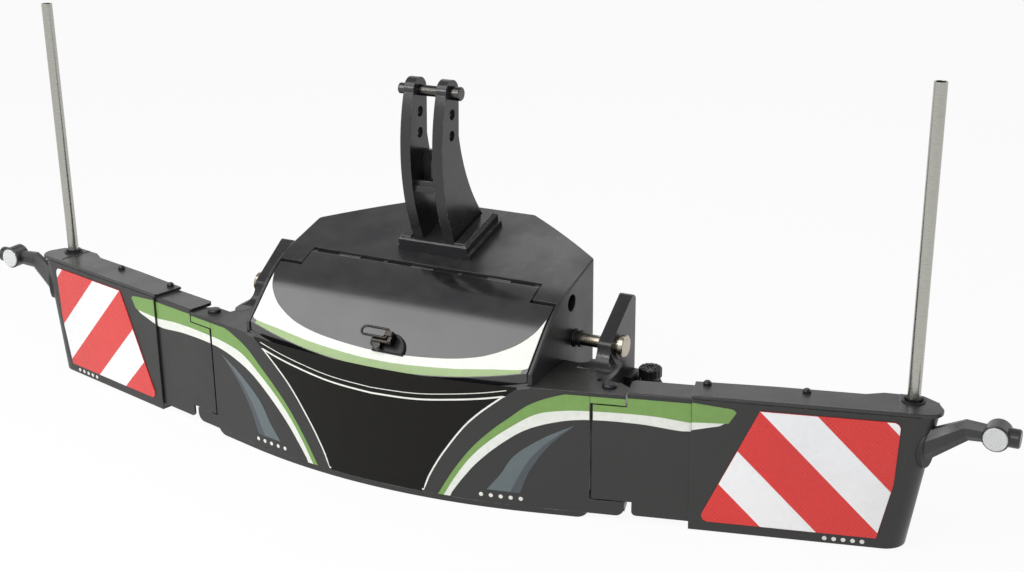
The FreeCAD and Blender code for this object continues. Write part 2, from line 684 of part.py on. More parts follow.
def make_front_panel():
    """Bowed face sheet with shoulders on top, returns below and tongues for the wings."""
    face = bow_strip(0.0, PANEL_WALL, PANEL_REACH, PANEL_BOTTOM, SHOULDER_TOP)
    above_hood = box(-BLOCK_HALF, BLOCK_HALF, 1.5 * NOSE_Y, 0, 0, FAR / 2).cut(hood_solid(LID_FLANGE))
    face = face.cut(above_hood)
    pieces = []
    lips = (SHOULDER_TOP - TONGUE_LIP, SHOULDER_TOP), (PANEL_BOTTOM, BRACKET_BOTTOM + TONGUE_PLAY)
    for low, high in lips:
        lip = wing_box(0, TONGUE_END_S, 0, PANEL_WALL, low, high)
        pieces.append(lip)
    flange_top = wing_prism(shoulder_outline(), SHOULDER_TOP - PANEL_WALL, SHOULDER_TOP)
    flange_bottom = wing_prism(shoulder_outline(), PANEL_BOTTOM, PANEL_BOTTOM + PANEL_WALL)
    pin = wing_rod(PANEL_BOTTOM - 1, SHOULDER_TOP + 1, WING_PIN_RADIUS + PIN_PLAY)
    side = pieces[0].fuse(pieces[1:] + [flange_top, flange_bottom]).cut(pin)
    middle = V(TONGUE_END_S - LIP_CORNER, -1, PANEL_BOTTOM + LIP_CORNER)
    low_corner = wing_box(middle.x, FAR, -1, 2 * KNUCKLE_RADIUS + WING_HINGE_D, 0, middle.z)
    side = side.cut(low_corner.cut(rod(middle, middle + V(0, FAR, 0), LIP_CORNER)))
    side = in_part_frame(side)
    keep = box(BLOCK_HALF + SEAT_GAP, FAR, 1.5 * NOSE_Y, BRACKET_REAR_Y, 0, FAR / 2)
    side = side.common(keep)
    return face.fuse([side, mirrored(side)]).removeSplitter()


# Wing frame: s out along the face, d back from it, turned into place at the end

def in_part_frame(shape):
    """Turn a piece drawn in the right wing's frame into the machine's frame."""
    placed = shape.copy()
    placed.rotate(V(0, 0, 0), V(0, 0, 1), math.degrees(SWEEP))
    placed.translate(bow_point(0.0, BOW_HALF))
    return placed


def wing_box(s0, s1, d0, d1, z0, z1):
    """A box in the wing's frame."""
    return box(s0, s1, d0, d1, z0, z1)


def wing_prism(points, z0, z1):
    """A plan outline in the wing's frame."""
    return prism(points, z0, z1)


def wing_rod(z0, z1, radius):
    """An upright bar on the wing's hinge axis, in the wing's frame."""
    return rod(V(WING_HINGE_S, WING_HINGE_D, z0), V(WING_HINGE_S, WING_HINGE_D, z1), radius)


def shoulder_outline():
    """Plan of the shoulder: a rounded lug round the hinge pin, wide at the block."""
    nose = TONGUE_END_S
    round_off = (nose - WING_HINGE_S) * 0.5
    wide = WING_HINGE_D + KNUCKLE_RADIUS
    return [
        (ARM_START_S, 0), (nose - round_off * 0.4, 0), (nose, round_off * 0.4),
        (nose, wide - round_off), (nose - round_off, wide), (WING_GAP_S, wide),
        (WING_GAP_S - SHOULDER_CUT, ARM_DEPTH), (ARM_START_S, ARM_DEPTH),
    ]


def make_side_bracket():
    """Boxed arm behind the shoulder, with hinge lugs and the base that carries the ear."""
    arm_top = SHOULDER_TOP - PANEL_WALL
    arm = box(BLOCK_HALF, BRACKET_END, 1.5 * NOSE_Y, BRACKET_REAR_Y, PANEL_BOTTOM + PANEL_WALL, arm_top)
    arm = arm.common(behind_bow(PANEL_WALL + SEAT_GAP, 0, FAR / 2))
    limit = in_part_frame(wing_box(ARM_START_S, WING_GAP_S - PANEL_WALL, -PANEL_WALL, FAR, 0, FAR / 2))
    arm = arm.common(limit)
    lugs = []
    inner = [(s, d) for s, d in shoulder_outline()]
    trim = in_part_frame(wing_box(WING_GAP_S - LUG_LAP, TONGUE_END_S, PANEL_WALL + SEAT_GAP, FAR, 0, FAR / 2))
    for low, high in (
        (arm_top - LUG_THICK, arm_top),
        (PANEL_BOTTOM + PANEL_WALL, PANEL_BOTTOM + PANEL_WALL + LUG_THICK),
    ):
        lug = in_part_frame(wing_prism(inner, low, high)).common(trim)
        lug = lug.common(box(BLOCK_HALF, FAR, 1.5 * NOSE_Y, BRACKET_REAR_Y, 0, FAR / 2))
        lugs.append(lug)
    base = box(BLOCK_HALF, EAR_INNER, BRACKET_REAR_Y, EAR_REAR_Y, BASE_LOW_Z, BASE_TOP_Z)
    bracket = arm.fuse(lugs + [base])
    pin = in_part_frame(wing_rod(0, SHOULDER_TOP, WING_PIN_RADIUS + PIN_PLAY))
    return bracket.cut(pin).removeSplitter()


def make_ear():
    """Thick upright plate with a slanted front top, its pin hole and a curved gusset."""
    inner = EAR_INNER
    outer = EAR_OUTER
    points = [
        V(0, EAR_FRONT_Y, EAR_FOOT_Z), V(0, EAR_FRONT_Y, EAR_SHOULDER_Z), V(0, EAR_TOP_Y, EAR_TOP_Z),
        V(0, EAR_REAR_Y, EAR_TOP_Z - (EAR_REAR_Y - EAR_TOP_Y) * 0.7), V(0, EAR_REAR_Y, EAR_FOOT_Z),
    ]
    plate = plate_yz(Part.makePolygon(points + points[:1]).Edges, inner, outer)
    across = (inner + outer) / 2
    top = edges_between(
        plate, lambda e: e.CenterOfMass.z > EAR_SHOULDER_Z - 5 and abs(e.CenterOfMass.x - across) < 1
    )
    plate = plate.makeFillet(EAR_TOP_RADIUS, top)
    neck = box(inner, outer, BRACKET_REAR_Y, EAR_FRONT_Y, EAR_FOOT_Z, SHOULDER_TOP)
    top_z = SHOULDER_TOP + GUSSET_HEIGHT
    sweep = (GUSSET_REACH ** 2 + GUSSET_HEIGHT ** 2) / (2 * GUSSET_REACH)
    flare = box(
        outer - 1, outer + GUSSET_REACH, EAR_FRONT_Y, EAR_FRONT_Y + GUSSET_WIDTH,
        SHOULDER_TOP - PANEL_WALL, top_z
    )
    hollow = rod(V(outer + sweep, EAR_FRONT_Y - 1, top_z), V(outer + sweep, EAR_REAR_Y, top_z), sweep)
    flare = flare.cut(hollow)
    ear = plate.fuse([neck, flare] + ear_toes())
    hole = rod(V(inner - 1, LOWER_PIN_Y, LOWER_PIN_Z), V(outer + 1, LOWER_PIN_Y, LOWER_PIN_Z),
               LOWER_PIN_RADIUS + PIN_PLAY)
    return ear.cut(hole).removeSplitter()


def ear_toes():
    """Hollow-curved foot in front of the ear, run out on the shoulder to the front and to both sides."""
    front = EAR_FRONT_Y - TOE_RADIUS
    top_z = SHOULDER_TOP + TOE_RADIUS
    low_reach = EAR_INNER - TOE_INNER_RADIUS
    inner_z = SHOULDER_TOP + TOE_INNER_RADIUS
    far_reach = EAR_OUTER + GUSSET_REACH
    side_top = SHOULDER_TOP + GUSSET_REACH
    front_hollow = rod(V(low_reach - 1, front, top_z), V(far_reach + 1, front, top_z), TOE_RADIUS)
    middle = box(EAR_INNER, EAR_OUTER, front, EAR_FRONT_Y, SHOULDER_TOP, top_z)
    inside = box(low_reach, EAR_INNER, front, BRACKET_REAR_Y + TOE_REAR_GAP, SHOULDER_TOP, inner_z)
    inside = inside.cut(rod(V(low_reach, front - 1, inner_z), V(low_reach, 0, inner_z), TOE_INNER_RADIUS))
    outside = box(EAR_OUTER, far_reach, front, EAR_FRONT_Y, SHOULDER_TOP, side_top)
    corner = V(far_reach, front - 1, side_top)
    outside = outside.cut(rod(corner, corner + V(0, TOE_RADIUS + 2, 0), GUSSET_REACH))
    return [toe.cut(front_hollow) for toe in (middle, inside, outside)]


def make_lower_pin():
    """Lower hitch pin: shaft, low collar against the ear and a chamfered head."""
    start = BLOCK_HALF - LOWER_PIN_DEPTH + 1
    seat = EAR_OUTER + SEAT_GAP
    shaft = rod(V(start, LOWER_PIN_Y, LOWER_PIN_Z), V(seat, LOWER_PIN_Y, LOWER_PIN_Z), LOWER_PIN_RADIUS)
    shoulder = V(seat + LOWER_COLLAR_LENGTH, LOWER_PIN_Y, LOWER_PIN_Z)
    collar = rod(V(seat, LOWER_PIN_Y, LOWER_PIN_Z), shoulder, LOWER_COLLAR_RADIUS)
    head = rod(shoulder, shoulder + V(LOWER_HEAD_LENGTH, 0, 0), LOWER_HEAD_RADIUS)
    rim = edges_between(head, lambda e: e.CenterOfMass.x > shoulder.x + LOWER_HEAD_LENGTH - 1)
    head = head.makeChamfer(LOWER_HEAD_LENGTH * 0.15, rim)
    return shaft.fuse([collar, head]).removeSplitter()


def make_collar():
    """Welded boss on the block's side, round the pin."""
    start = V(BLOCK_HALF, LOWER_PIN_Y, LOWER_PIN_Z)
    end = start + V(BOSS_LENGTH, 0, 0)
    return rod(start, end, BOSS_RADIUS).cut(rod(start, end, LOWER_PIN_RADIUS + PIN_PLAY))


# Mast, with its base laid on the rear slope

def on_rear_slope(shape):
    """Lay a piece drawn level at the origin on the rear slope, its front at MAST_FRONT_Y."""
    placed = shape.copy()
    placed.rotate(V(0, 0, 0), V(1, 0, 0), HOOD_REAR_SLOPE)
    placed.translate(V(0, MAST_FRONT_Y, hood_z(MAST_FRONT_Y)))
    return placed


def make_mast_base():
    """Stepped base plate with a raised rail on each side."""
    wide = MAST_BASE_HALF
    foot = box(-wide - MAST_STEP, wide + MAST_STEP, 0, MAST_BASE_LENGTH, 0, MAST_STEP_HEIGHT)
    body = box(-wide, wide, 0, MAST_BASE_LENGTH - MAST_STEP, 0, MAST_BASE_HEIGHT)
    top = edges_between(body, lambda e: e.CenterOfMass.z > MAST_BASE_HEIGHT - 1)
    body = body.makeChamfer(MAST_STEP * 0.6, top)
    rails = []
    for side in (-1, 1):
        near, far = sorted((side * (wide - MAST_STEP), side * (wide - MAST_STEP - MAST_RAIL_WIDTH)))
        rail = box(near, far, MAST_STEP, MAST_BASE_LENGTH - 2 * MAST_STEP, 0,
                   MAST_BASE_HEIGHT + MAST_RAIL_HEIGHT)
        edge = edges_between(rail, lambda e: e.CenterOfMass.z > MAST_BASE_HEIGHT + MAST_RAIL_HEIGHT - 1)
        rails.append(rail.makeChamfer(MAST_RAIL_HEIGHT * 0.3, edge))
    return on_rear_slope(foot.fuse([body] + rails).removeSplitter())


def left_of_circle(centre, radius, z):
    """The point at height z on the front half of a circle in side view."""
    y, middle = centre
    return V(0, y - math.sqrt(radius ** 2 - (z - middle) ** 2), z)


def cheek_profile():
    """Side view of a cheek: round head, bowed front edge, rear edge that flares to the foot."""
    head = CHEEK_HEAD_RADIUS
    foot_z = hood_z(MAST_FRONT_Y)
    rear_foot_z = hood_z(MAST_FRONT_Y + MAST_BASE_LENGTH)
    front_top = V(0, TOP_PIN_Y - head, TOP_PIN_Z)
    rear_top = V(0, TOP_PIN_Y + head, TOP_PIN_Z)
    crown = V(0, TOP_PIN_Y, TOP_PIN_Z + head)
    front_bow = left_of_circle(CHEEK_FRONT_CENTRE, CHEEK_FRONT_RADIUS, CHEEK_FRONT_CENTRE[1])
    front_foot = left_of_circle(CHEEK_FRONT_CENTRE, CHEEK_FRONT_RADIUS, foot_z)
    rear_waist = left_of_circle(CHEEK_REAR_CENTRE, CHEEK_REAR_RADIUS, CHEEK_WAIST_Z)
    rear_flare = left_of_circle(CHEEK_REAR_CENTRE, CHEEK_REAR_RADIUS, (CHEEK_WAIST_Z + rear_foot_z) / 2)
    rear_foot = left_of_circle(CHEEK_REAR_CENTRE, CHEEK_REAR_RADIUS, rear_foot_z)
    toe = V(0, front_foot.y, rear_foot_z - (rear_foot.y - front_foot.y))
    return [
        Part.Arc(rear_top, crown, front_top).toShape(),
        Part.Arc(front_top, front_bow, front_foot).toShape(),
        Part.makeLine(front_foot, toe),
        Part.makeLine(toe, rear_foot),
        Part.Arc(rear_foot, rear_flare, rear_waist).toShape(),
        Part.makeLine(rear_waist, rear_top),
    ]


def pin_places():
    """Heights of the three top-link holes, highest first, in the YZ plane."""
    return [V(0, TOP_PIN_Y - i * TOP_HOLE_LEAN, TOP_PIN_Z - i * TOP_HOLE_PITCH) for i in range(3)]


def above_mast_base(shape):
    """Cut a mast piece off along the base plate's top, between its rails."""
    return shape.cut(hood_solid(-MAST_BASE_HEIGHT))


def make_cheek():
    """Right-hand cheek plate with three pin holes."""
    cheek = plate_yz(cheek_profile(), CHEEK_INNER, CHEEK_INNER + CHEEK_THICK)
    cheek = above_mast_base(cheek)
    for place in pin_places():
        start = V(CHEEK_INNER - 1, place.y, place.z)
        end = V(CHEEK_INNER + CHEEK_THICK + 1, place.y, place.z)
        cheek = cheek.cut(rod(start, end, TOP_PIN_RADIUS + PIN_PLAY))
    return cheek


def make_cross_plate():
    """Level plate between the cheeks, with a lip on its front edge."""
    low = CROSS_PLATE_Z
    front = TOP_PIN_Y - 1.25 * CHEEK_HEAD_RADIUS
    rear = TOP_PIN_Y + 1.2 * CHEEK_HEAD_RADIUS
    lip_front = front + CROSS_LIP_SETBACK
    plate = box(-CHEEK_INNER, CHEEK_INNER, front, rear, low, low + CROSS_PLATE_THICK)
    lip = box(-CHEEK_INNER, CHEEK_INNER, lip_front, lip_front + CROSS_LIP_THICK, low, low + CROSS_LIP_HEIGHT)
    return plate.fuse(lip).removeSplitter()


def make_back_plate():
    """Upright web between the cheeks above the cross plate, with a window in it."""
    low = CROSS_PLATE_Z + CROSS_PLATE_THICK
    front = TOP_PIN_Y + 0.2 * CHEEK_HEAD_RADIUS
    rear = front + BACK_PLATE_THICK
    web = box(-CHEEK_INNER, CHEEK_INNER, front, rear, low, BACK_PLATE_TOP_Z)
    open_half = CHEEK_INNER - BACK_PLATE_FRAME
    window = box(
        -open_half, open_half, front - 1, rear + 1,
        low + BACK_PLATE_FRAME, BACK_PLATE_TOP_Z - BACK_PLATE_FRAME
    )
    return web.cut(window)


def make_top_pin():
    """Top-link pin: head on the right, cross hole for its clip on the left."""
    left = V(-TOP_PIN_REACH, TOP_PIN_Y, TOP_PIN_Z)
    seat = V(CHEEK_INNER + CHEEK_THICK + SEAT_GAP, TOP_PIN_Y, TOP_PIN_Z)
    end = seat + V(TOP_PIN_HEAD_LENGTH, 0, 0)
    shaft = rod(left, seat, TOP_PIN_RADIUS)
    tip = edges_between(shaft, lambda e: e.CenterOfMass.x < left.x + 1)
    shaft = shaft.makeChamfer(TOP_PIN_RADIUS * 0.15, tip)
    head = rod(seat, end, TOP_PIN_HEAD_RADIUS)
    rim = edges_between(head, lambda e: e.CenterOfMass.x > end.x - 1)
    head = head.makeChamfer(TOP_PIN_RADIUS * 0.15, rim)
    middle = V(-(CHEEK_INNER + CHEEK_THICK + TOP_PIN_REACH) / 2, TOP_PIN_Y, TOP_PIN_Z)
    past = V(0, 0, 2 * TOP_PIN_RADIUS)
    clip_hole = rod(middle - past, middle + past, CLIP_HOLE_RADIUS)
    return shaft.fuse(head).cut(clip_hole).removeSplitter()


# Wing pieces

def wing_end(z):
    """How far out the raked end of the outer shell reaches at height z."""
    return WING_END_S - (WING_TOP - z) * WING_END_RAKE


def raked_block(inset, d0, d1, z0, z1, radius):
    """The outer shell's form, inset by a wall, with a rounded outer front corner."""
    points = [
        V(WING_STEP_S, d0, z0), V(wing_end(z0) - inset, d0, z0),
        V(wing_end(z1) - inset, d0, z1), V(WING_STEP_S, d0, z1),
    ]
    face = Part.Face(Part.makePolygon(points + points[:1]))
    block = face.extrude(V(0, d1 - d0, 0))
    corner = edges_between(
        block, lambda e: e.CenterOfMass.x > WING_STEP_S + 50 and abs(e.CenterOfMass.y - d0) < 1
        and e.CenterOfMass.z > z0 + 5 and e.CenterOfMass.z < z1 - 5
    )
    return block.makeFillet(radius, corner)


def make_outer_shell():
    """Outer wing shell: face, raked end and a bottom return, open at the back."""
    low = WING_OUTER_BOTTOM
    high = WING_TOP - WING_TOP_PLATE
    outer = raked_block(0, -WING_PROUD, WING_DEPTH, low, high, WING_END_RADIUS)
    inner = raked_block(
        WING_SKIN, -WING_PROUD + WING_SKIN, WING_DEPTH + 1, low - 1, high + 1, WING_END_RADIUS - WING_SKIN
    )
    shell = outer.cut(inner)
    shelf = wing_box(WING_STEP_S, WING_END_S, -WING_PROUD, WING_DEPTH * 0.5, low, low + WING_SKIN)
    return shell.fuse(shelf.common(outer)).removeSplitter()


def make_outer_top():
    """Top plate of the outer wing: sunken field, raised rim and a broad end under the pole."""
    front = WING_SETBACK - WING_PROUD
    end = WING_END_S + WING_END_OVERHANG
    low = WING_TOP - WING_TOP_PLATE
    cuts = [(end - along, WING_END_DEPTH - across) for along, across in WING_TOP_CUTS]
    taper = [(end - WING_TOP_TAPER[1], WING_END_DEPTH), (end - WING_TOP_TAPER[0], WING_DEPTH)]
    start = WING_STEP_S - WING_TOP_LAP
    plate = wing_prism([
        (start, front), (end, front), (end, WING_TOP_SIDE_D), cuts[1], cuts[0], taper[0], taper[1],
        (WING_STEP_S + WING_TOP_BROAD_OUT, WING_DEPTH), (start, WING_DEPTH - WING_TOP_NOTCH),
    ], low, WING_TOP)
    nose = edges_between(plate, lambda e: upright(e) and e.CenterOfMass.x > end - 1 and e.CenterOfMass.y < 0)
    plate = plate.makeFillet(WING_END_RADIUS * 0.75, nose)
    broad = taper[0][0] - 1
    rear = edges_between(
        plate, lambda e: upright(e) and e.CenterOfMass.x > broad and e.CenterOfMass.y > WING_TOP_SIDE_D + 1
    )
    plate = plate.makeFillet(WING_TOP_REAR_RADIUS, rear)
    rim = edges_between(plate, lambda e: e.CenterOfMass.z > WING_TOP - 0.1 and e.CenterOfMass.x > WING_STEP_S)
    plate = plate.makeFillet(WING_TOP_EDGE_RADIUS, rim)
    field_end = POLE_S - POLE_NUT_RADIUS - WING_RIM
    field = wing_box(
        WING_STEP_S - WING_LAP, field_end, front + WING_RIM, 2 * WING_END_DEPTH,
        WING_TOP - WING_RIM_SINK, WING_TOP + 1
    )
    corner = edges_between(
        field, lambda e: upright(e) and e.CenterOfMass.x > field_end - 1 and e.CenterOfMass.y < WING_DEPTH
    )
    field = field.makeFillet(WING_FIELD_RADIUS, corner)
    pole_hole = rod(V(POLE_S, POLE_D, 0), V(POLE_S, POLE_D, FAR / 2), POLE_RADIUS)
    return plate.cut(field).cut(pole_hole).cut(bolt_shanks())


def make_inner_panel():
    """Inner wing panel: face with a raised tab at the hinge and a top flange."""
    tab_low = BRACKET_BOTTOM + 2 * TONGUE_PLAY
    tab_high = SHOULDER_TOP - TONGUE_LIP - TONGUE_PLAY
    top = inner_top_z()
    overlap = WING_STEP_S + WING_LAP
    points = [
        V(WING_GAP_S, 0, tab_low), V(WING_DROP_S, 0, tab_low), V(WING_DROP_S, 0, WING_INNER_BOTTOM),
        V(overlap, 0, WING_INNER_BOTTOM), V(overlap, 0, top), V(TONGUE_END_S + TONGUE_PLAY, 0, top),
        V(TONGUE_END_S + TONGUE_PLAY, 0, tab_high), V(WING_GAP_S, 0, tab_high),
    ]
    face = Part.Face(Part.makePolygon(points + points[:1])).extrude(V(0, WING_SKIN, 0))
    corner = edges_between(
        face, lambda e: abs(e.CenterOfMass.x - WING_DROP_S) < 1 and e.CenterOfMass.z < WING_INNER_BOTTOM + 1
        and abs(e.CenterOfMass.y - WING_SKIN / 2) < 1
    )
    face = face.makeFillet(WING_DROP_RADIUS, corner)
    rim = edges_between(face, lambda e: e.CenterOfMass.z > top - 0.1 and e.CenterOfMass.y < 0.1)
    return face.makeFillet(WING_SKIN * 0.7, rim)


def inner_top_z():
    """Underside of the outer top plate: the inner top plate slides under it."""
    return WING_TOP - WING_TOP_PLATE - SEAT_GAP


def make_inner_top():
    """Top plate of the inner wing, with its inner end rounded round the hinge."""
    high = inner_top_z()
    start = TONGUE_END_S + TONGUE_PLAY
    end = WING_STEP_S + WING_LAP
    rear = WING_DEPTH - INNER_TOP_SETBACK
    plate = wing_box(start, end, WING_SKIN, rear, high - WING_TOP_PLATE, high)
    corners = edges_between(
        plate, lambda e: upright(e) and e.CenterOfMass.x < start + 1 and e.CenterOfMass.y > rear - 1
    )
    plate = plate.makeFillet(INNER_TOP_RADIUS, corners)
    return plate.cut(bolt_shanks())


def make_wing_arm():
    """Box-section arm with the hinge knuckle at its inner end."""
    low = WING_ARM_Z - WING_ARM_HEIGHT / 2
    high = WING_ARM_Z + WING_ARM_HEIGHT / 2
    near = WING_SKIN + SEAT_GAP
    tube = wing_box(WING_HINGE_S, WING_ARM_END_S, near, near + WING_ARM_WIDTH, low, high)
    wall = WING_ARM_WALL
    bore = wing_box(
        WING_HINGE_S + KNUCKLE_RADIUS + KNUCKLE_LAP, WING_ARM_END_S + 1,
        near + wall, near + WING_ARM_WIDTH - wall,
        low + wall, high - wall
    )
    knuckle_low = PANEL_BOTTOM + PANEL_WALL + LUG_THICK + TONGUE_PLAY
    knuckle_high = SHOULDER_TOP - PANEL_WALL - LUG_THICK - TONGUE_PLAY
    knuckle = wing_rod(knuckle_low, knuckle_high, KNUCKLE_RADIUS)
    tab_plate = wing_box(
        WING_GAP_S + KNUCKLE_LAP, WING_HINGE_S, near, near + wall,
        knuckle_low + KNUCKLE_TAB_SHORT, knuckle_high - KNUCKLE_TAB_SHORT
    )
    hole = wing_rod(0, FAR / 2, WING_PIN_RADIUS + PIN_PLAY)
    return tube.cut(bore).fuse([knuckle, tab_plate]).cut(hole).removeSplitter()


def make_wing_ribs():
    """Upright ribs that tie arm, shell and top plates together."""
    low = WING_ARM_Z + WING_ARM_HEIGHT / 2
    behind_panel = WING_SKIN
    behind_shell = WING_SKIN - WING_PROUD
    under_inner = inner_top_z() - WING_TOP_PLATE
    under_outer = WING_TOP - WING_TOP_PLATE
    ribs = []
    for middle, front, top in (
        (TOP_BOLT_S[0] - RIB_AWAY, behind_panel, under_inner),
        (TOP_BOLT_S[0] + RIB_NEAR, behind_panel, under_inner),
        (TOP_BOLT_S[1] + RIB_NEAR, behind_shell, under_outer),
        (WING_ARM_END_S - RIB_END, behind_shell, under_outer),
    ):
        half = RIB_THICK / 2
        ribs.append(wing_box(middle - half, middle + half, front, TOP_BOLT_D + RIB_MARGIN, low, top))
    return Part.makeCompound(ribs)


def make_wing_pin():
    """Hinge pin with a domed head on the shoulder."""
    shaft = wing_rod(PANEL_BOTTOM, SHOULDER_TOP, WING_PIN_RADIUS)
    head = wing_rod(SHOULDER_TOP, SHOULDER_TOP + WING_PIN_HEAD_HEIGHT, WING_PIN_HEAD_RADIUS)
    rim = edges_between(head, lambda e: e.CenterOfMass.z > SHOULDER_TOP + WING_PIN_HEAD_HEIGHT - 1)
    return shaft.fuse(head.makeFillet(WING_PIN_HEAD_HEIGHT * 0.6, rim)).removeSplitter()


def bolt_shanks():
    """The shanks of the top bolts."""
    shanks = []
    for s in TOP_BOLT_S:
        base = V(s, TOP_BOLT_D, WING_TOP - TOP_BOLT_LENGTH)
        shanks.append(rod(base, V(s, TOP_BOLT_D, WING_TOP), TOP_BOLT_RADIUS * 0.6))
    return Part.makeCompound(shanks)


def make_top_bolts():
    """Two dome-headed bolts through the outer top plate."""
    bolts = []
    for s, shank in zip(TOP_BOLT_S, bolt_shanks().Solids):
        base = V(s, TOP_BOLT_D, WING_TOP - WING_RIM_SINK)
        head = rod(base, base + V(0, 0, TOP_BOLT_HEIGHT), TOP_BOLT_RADIUS)
        rim = edges_between(head, lambda e: e.CenterOfMass.z > base.z + TOP_BOLT_HEIGHT - 1)
        bolts.append(head.makeChamfer(TOP_BOLT_HEIGHT * 0.4, rim).fuse(shank).removeSplitter())
    return Part.makeCompound(bolts)


def make_board():
    """Hazard board: a thin sheet on the outer wing's face with a slanted inner end."""
    back = -WING_PROUD
    points = [
        V(BOARD_INNER_BOTTOM_S, back, BOARD_BOTTOM), V(BOARD_OUTER_BOTTOM_S, back, BOARD_BOTTOM),
        V(BOARD_OUTER_MID_S, back, BOARD_OUTER_MID_Z), V(BOARD_OUTER_TOP_S, back, BOARD_TOP),
        V(BOARD_INNER_TOP_S, back, BOARD_TOP),
    ]
    board = Part.Face(Part.makePolygon(points + points[:1])).extrude(V(0, -BOARD_THICK, 0))
    middle = back - BOARD_THICK / 2
    rounded = edges_between(
        board, lambda e: abs(e.CenterOfMass.y - middle) < 0.1
        and (e.CenterOfMass.x < BOARD_INNER_BOTTOM_S + 1 or e.CenterOfMass.x > BOARD_OUTER_TOP_S - 1)
    )
    return board.makeFillet(BOARD_CORNER, rounded)


def make_pole():
    """Hollow steel marker pole standing in the outer top plate."""
    foot = V(POLE_S, POLE_D, WING_TOP - WING_TOP_PLATE - POLE_NUT_HEIGHT)
    top = V(POLE_S, POLE_D, POLE_TOP_Z)
    hollow = rod(top - V(0, 0, 40), top + V(0, 0, 1), POLE_BORE)
    return rod(foot, top, POLE_RADIUS - SEAT_GAP).cut(hollow)


def make_pole_nut():
    """Low hexagonal nut at the pole's foot."""
    points = []
    for i in range(6):
        angle = math.radians(60 * i)
        along, across = POLE_NUT_RADIUS * math.cos(angle), POLE_NUT_RADIUS * math.sin(angle)
        points.append((POLE_S + along, POLE_D + across))
    nut = wing_prism(points, WING_TOP, WING_TOP + POLE_NUT_HEIGHT)
    return nut.cut(rod(V(POLE_S, POLE_D, 0), V(POLE_S, POLE_D, FAR / 2), POLE_RADIUS))


def wing_point(s, d, z):
    """A place in the wing's frame as a point in the machine's frame."""
    along = V(math.cos(SWEEP), math.sin(SWEEP), 0)
    back = V(-math.sin(SWEEP), math.cos(SWEEP), 0)
    return bow_point(0.0, BOW_HALF) + along * s + back * d + V(0, 0, z)


def lamp_points():
    """Root, elbow and lamp centre of the right lamp arm, in the machine's frame."""
    return [
        wing_point(ARM_ROOT_S, ARM_ROOT_D, ARM_ROOT_Z), wing_point(ARM_ELBOW_S, ARM_ELBOW_D, ARM_ELBOW_Z),
        wing_point(LAMP_S, LAMP_D, LAMP_Z),
    ]


def section(centre, along, wide, high):
    """A rounded-rectangle ring square to a direction, for the arm's loft."""
    along = V(along.x, along.y, along.z).normalize()
    side = along.cross(V(0, 0, 1)).normalize()
    up = side.cross(along).normalize()
    ring = []
    for i in range(8):
        angle = math.pi / 4 * i + math.pi / 8
        across, above = wide / 2 * math.cos(angle) * 1.08, high / 2 * math.sin(angle) * 1.08
        ring.append(centre + side * across + up * above)
    return Part.makePolygon(ring + ring[:1])


def make_lamp_arm():
    """Tapered rubber arm that rises to an elbow and runs level to the lamp."""
    root, elbow, lamp = lamp_points()
    outward = V(elbow.x - root.x, elbow.y - root.y, 0).normalize()
    level = V(lamp.x - elbow.x, lamp.y - elbow.y, 0).normalize()
    rise = (elbow - root).normalize()
    end = lamp + V(0, LAMP_HOUSING_DEPTH * 0.5, 0)
    rings = [
        section(root - outward * 14, outward, *ARM_ROOT_SIZE), section(elbow, rise + level, *ARM_ELBOW_SIZE),
        section(end, level, *ARM_END_SIZE),
    ]
    return Part.makeLoft(rings, True, True).cut(lamp_barrel())


def lamp_barrel():
    """The lamp's full outer form, without its lens seats."""
    centre = lamp_points()[2]
    half = LAMP_HOUSING_DEPTH / 2
    profile = [
        V(0, -half, 0), V(LAMP_RADIUS - 3, -half, 0), V(LAMP_RADIUS, -half + 3, 0),
        V(LAMP_RADIUS, half - 3, 0), V(LAMP_RADIUS - 3, half, 0), V(0, half, 0),
    ]
    face = Part.Face(Part.makePolygon(profile + profile[:1]))
    barrel = face.revolve(V(0, 0, 0), V(0, 1, 0), 360)
    side = rod(V(0, 0, 0), V(LAMP_SIDE_REACH, 0, 0), LAMP_SIDE_RADIUS)
    rim = edges_between(side, lambda e: e.CenterOfMass.x > LAMP_SIDE_REACH - 1)
    barrel = barrel.fuse(side.makeChamfer(3.0, rim))
    barrel.translate(centre + V(0, half, 0))
    return barrel


def make_lamp():
    """Lamp housing: a barrel with a side boss, lens seats in front and behind."""
    body = lamp_barrel()
    middle = lamp_points()[2] + V(0, LAMP_HOUSING_DEPTH / 2, 0)
    half = LAMP_HOUSING_DEPTH / 2
    for side in (-1, 1):
        face = middle + V(0, side * half, 0)
        body = body.cut(rod(face, face - V(0, side * LAMP_LENS_THICK, 0), LAMP_LENS_RADIUS))
    return body.removeSplitter()


def make_lens(front):
    """Domed round lens in the housing's seat."""
    centre = lamp_points()[2]
    half = LAMP_HOUSING_DEPTH / 2
    middle = centre + V(0, half, 0)
    side = -1 if front else 1
    start = middle + V(0, side * (half - LAMP_LENS_THICK), 0)
    end = middle + V(0, side * (half + 2), 0)
    lens = rod(start, end, LAMP_LENS_RADIUS - SEAT_GAP)
    rim = edges_between(lens, lambda e: abs(e.CenterOfMass.y - end.y) < 0.5)
    return lens.makeChamfer(1.8, rim)


def boot_form():
    """Outside of the rubber boot, set square on the rounded corner of the shell's end."""
    turn = math.radians(BOOT_TURN)
    s = wing_end(ARM_ROOT_Z) - WING_END_RADIUS * (1 - math.cos(turn))
    d = WING_END_RADIUS * (1 - math.sin(turn)) - WING_PROUD
    centre = wing_point(s, d, ARM_ROOT_Z)
    outward = V(math.cos(SWEEP - turn), math.sin(SWEEP - turn), 0)
    rings = [oval(centre - outward * 12, outward, 1.0), oval(centre + outward * 4, outward, 0.86)]
    return Part.makeLoft(rings, True)


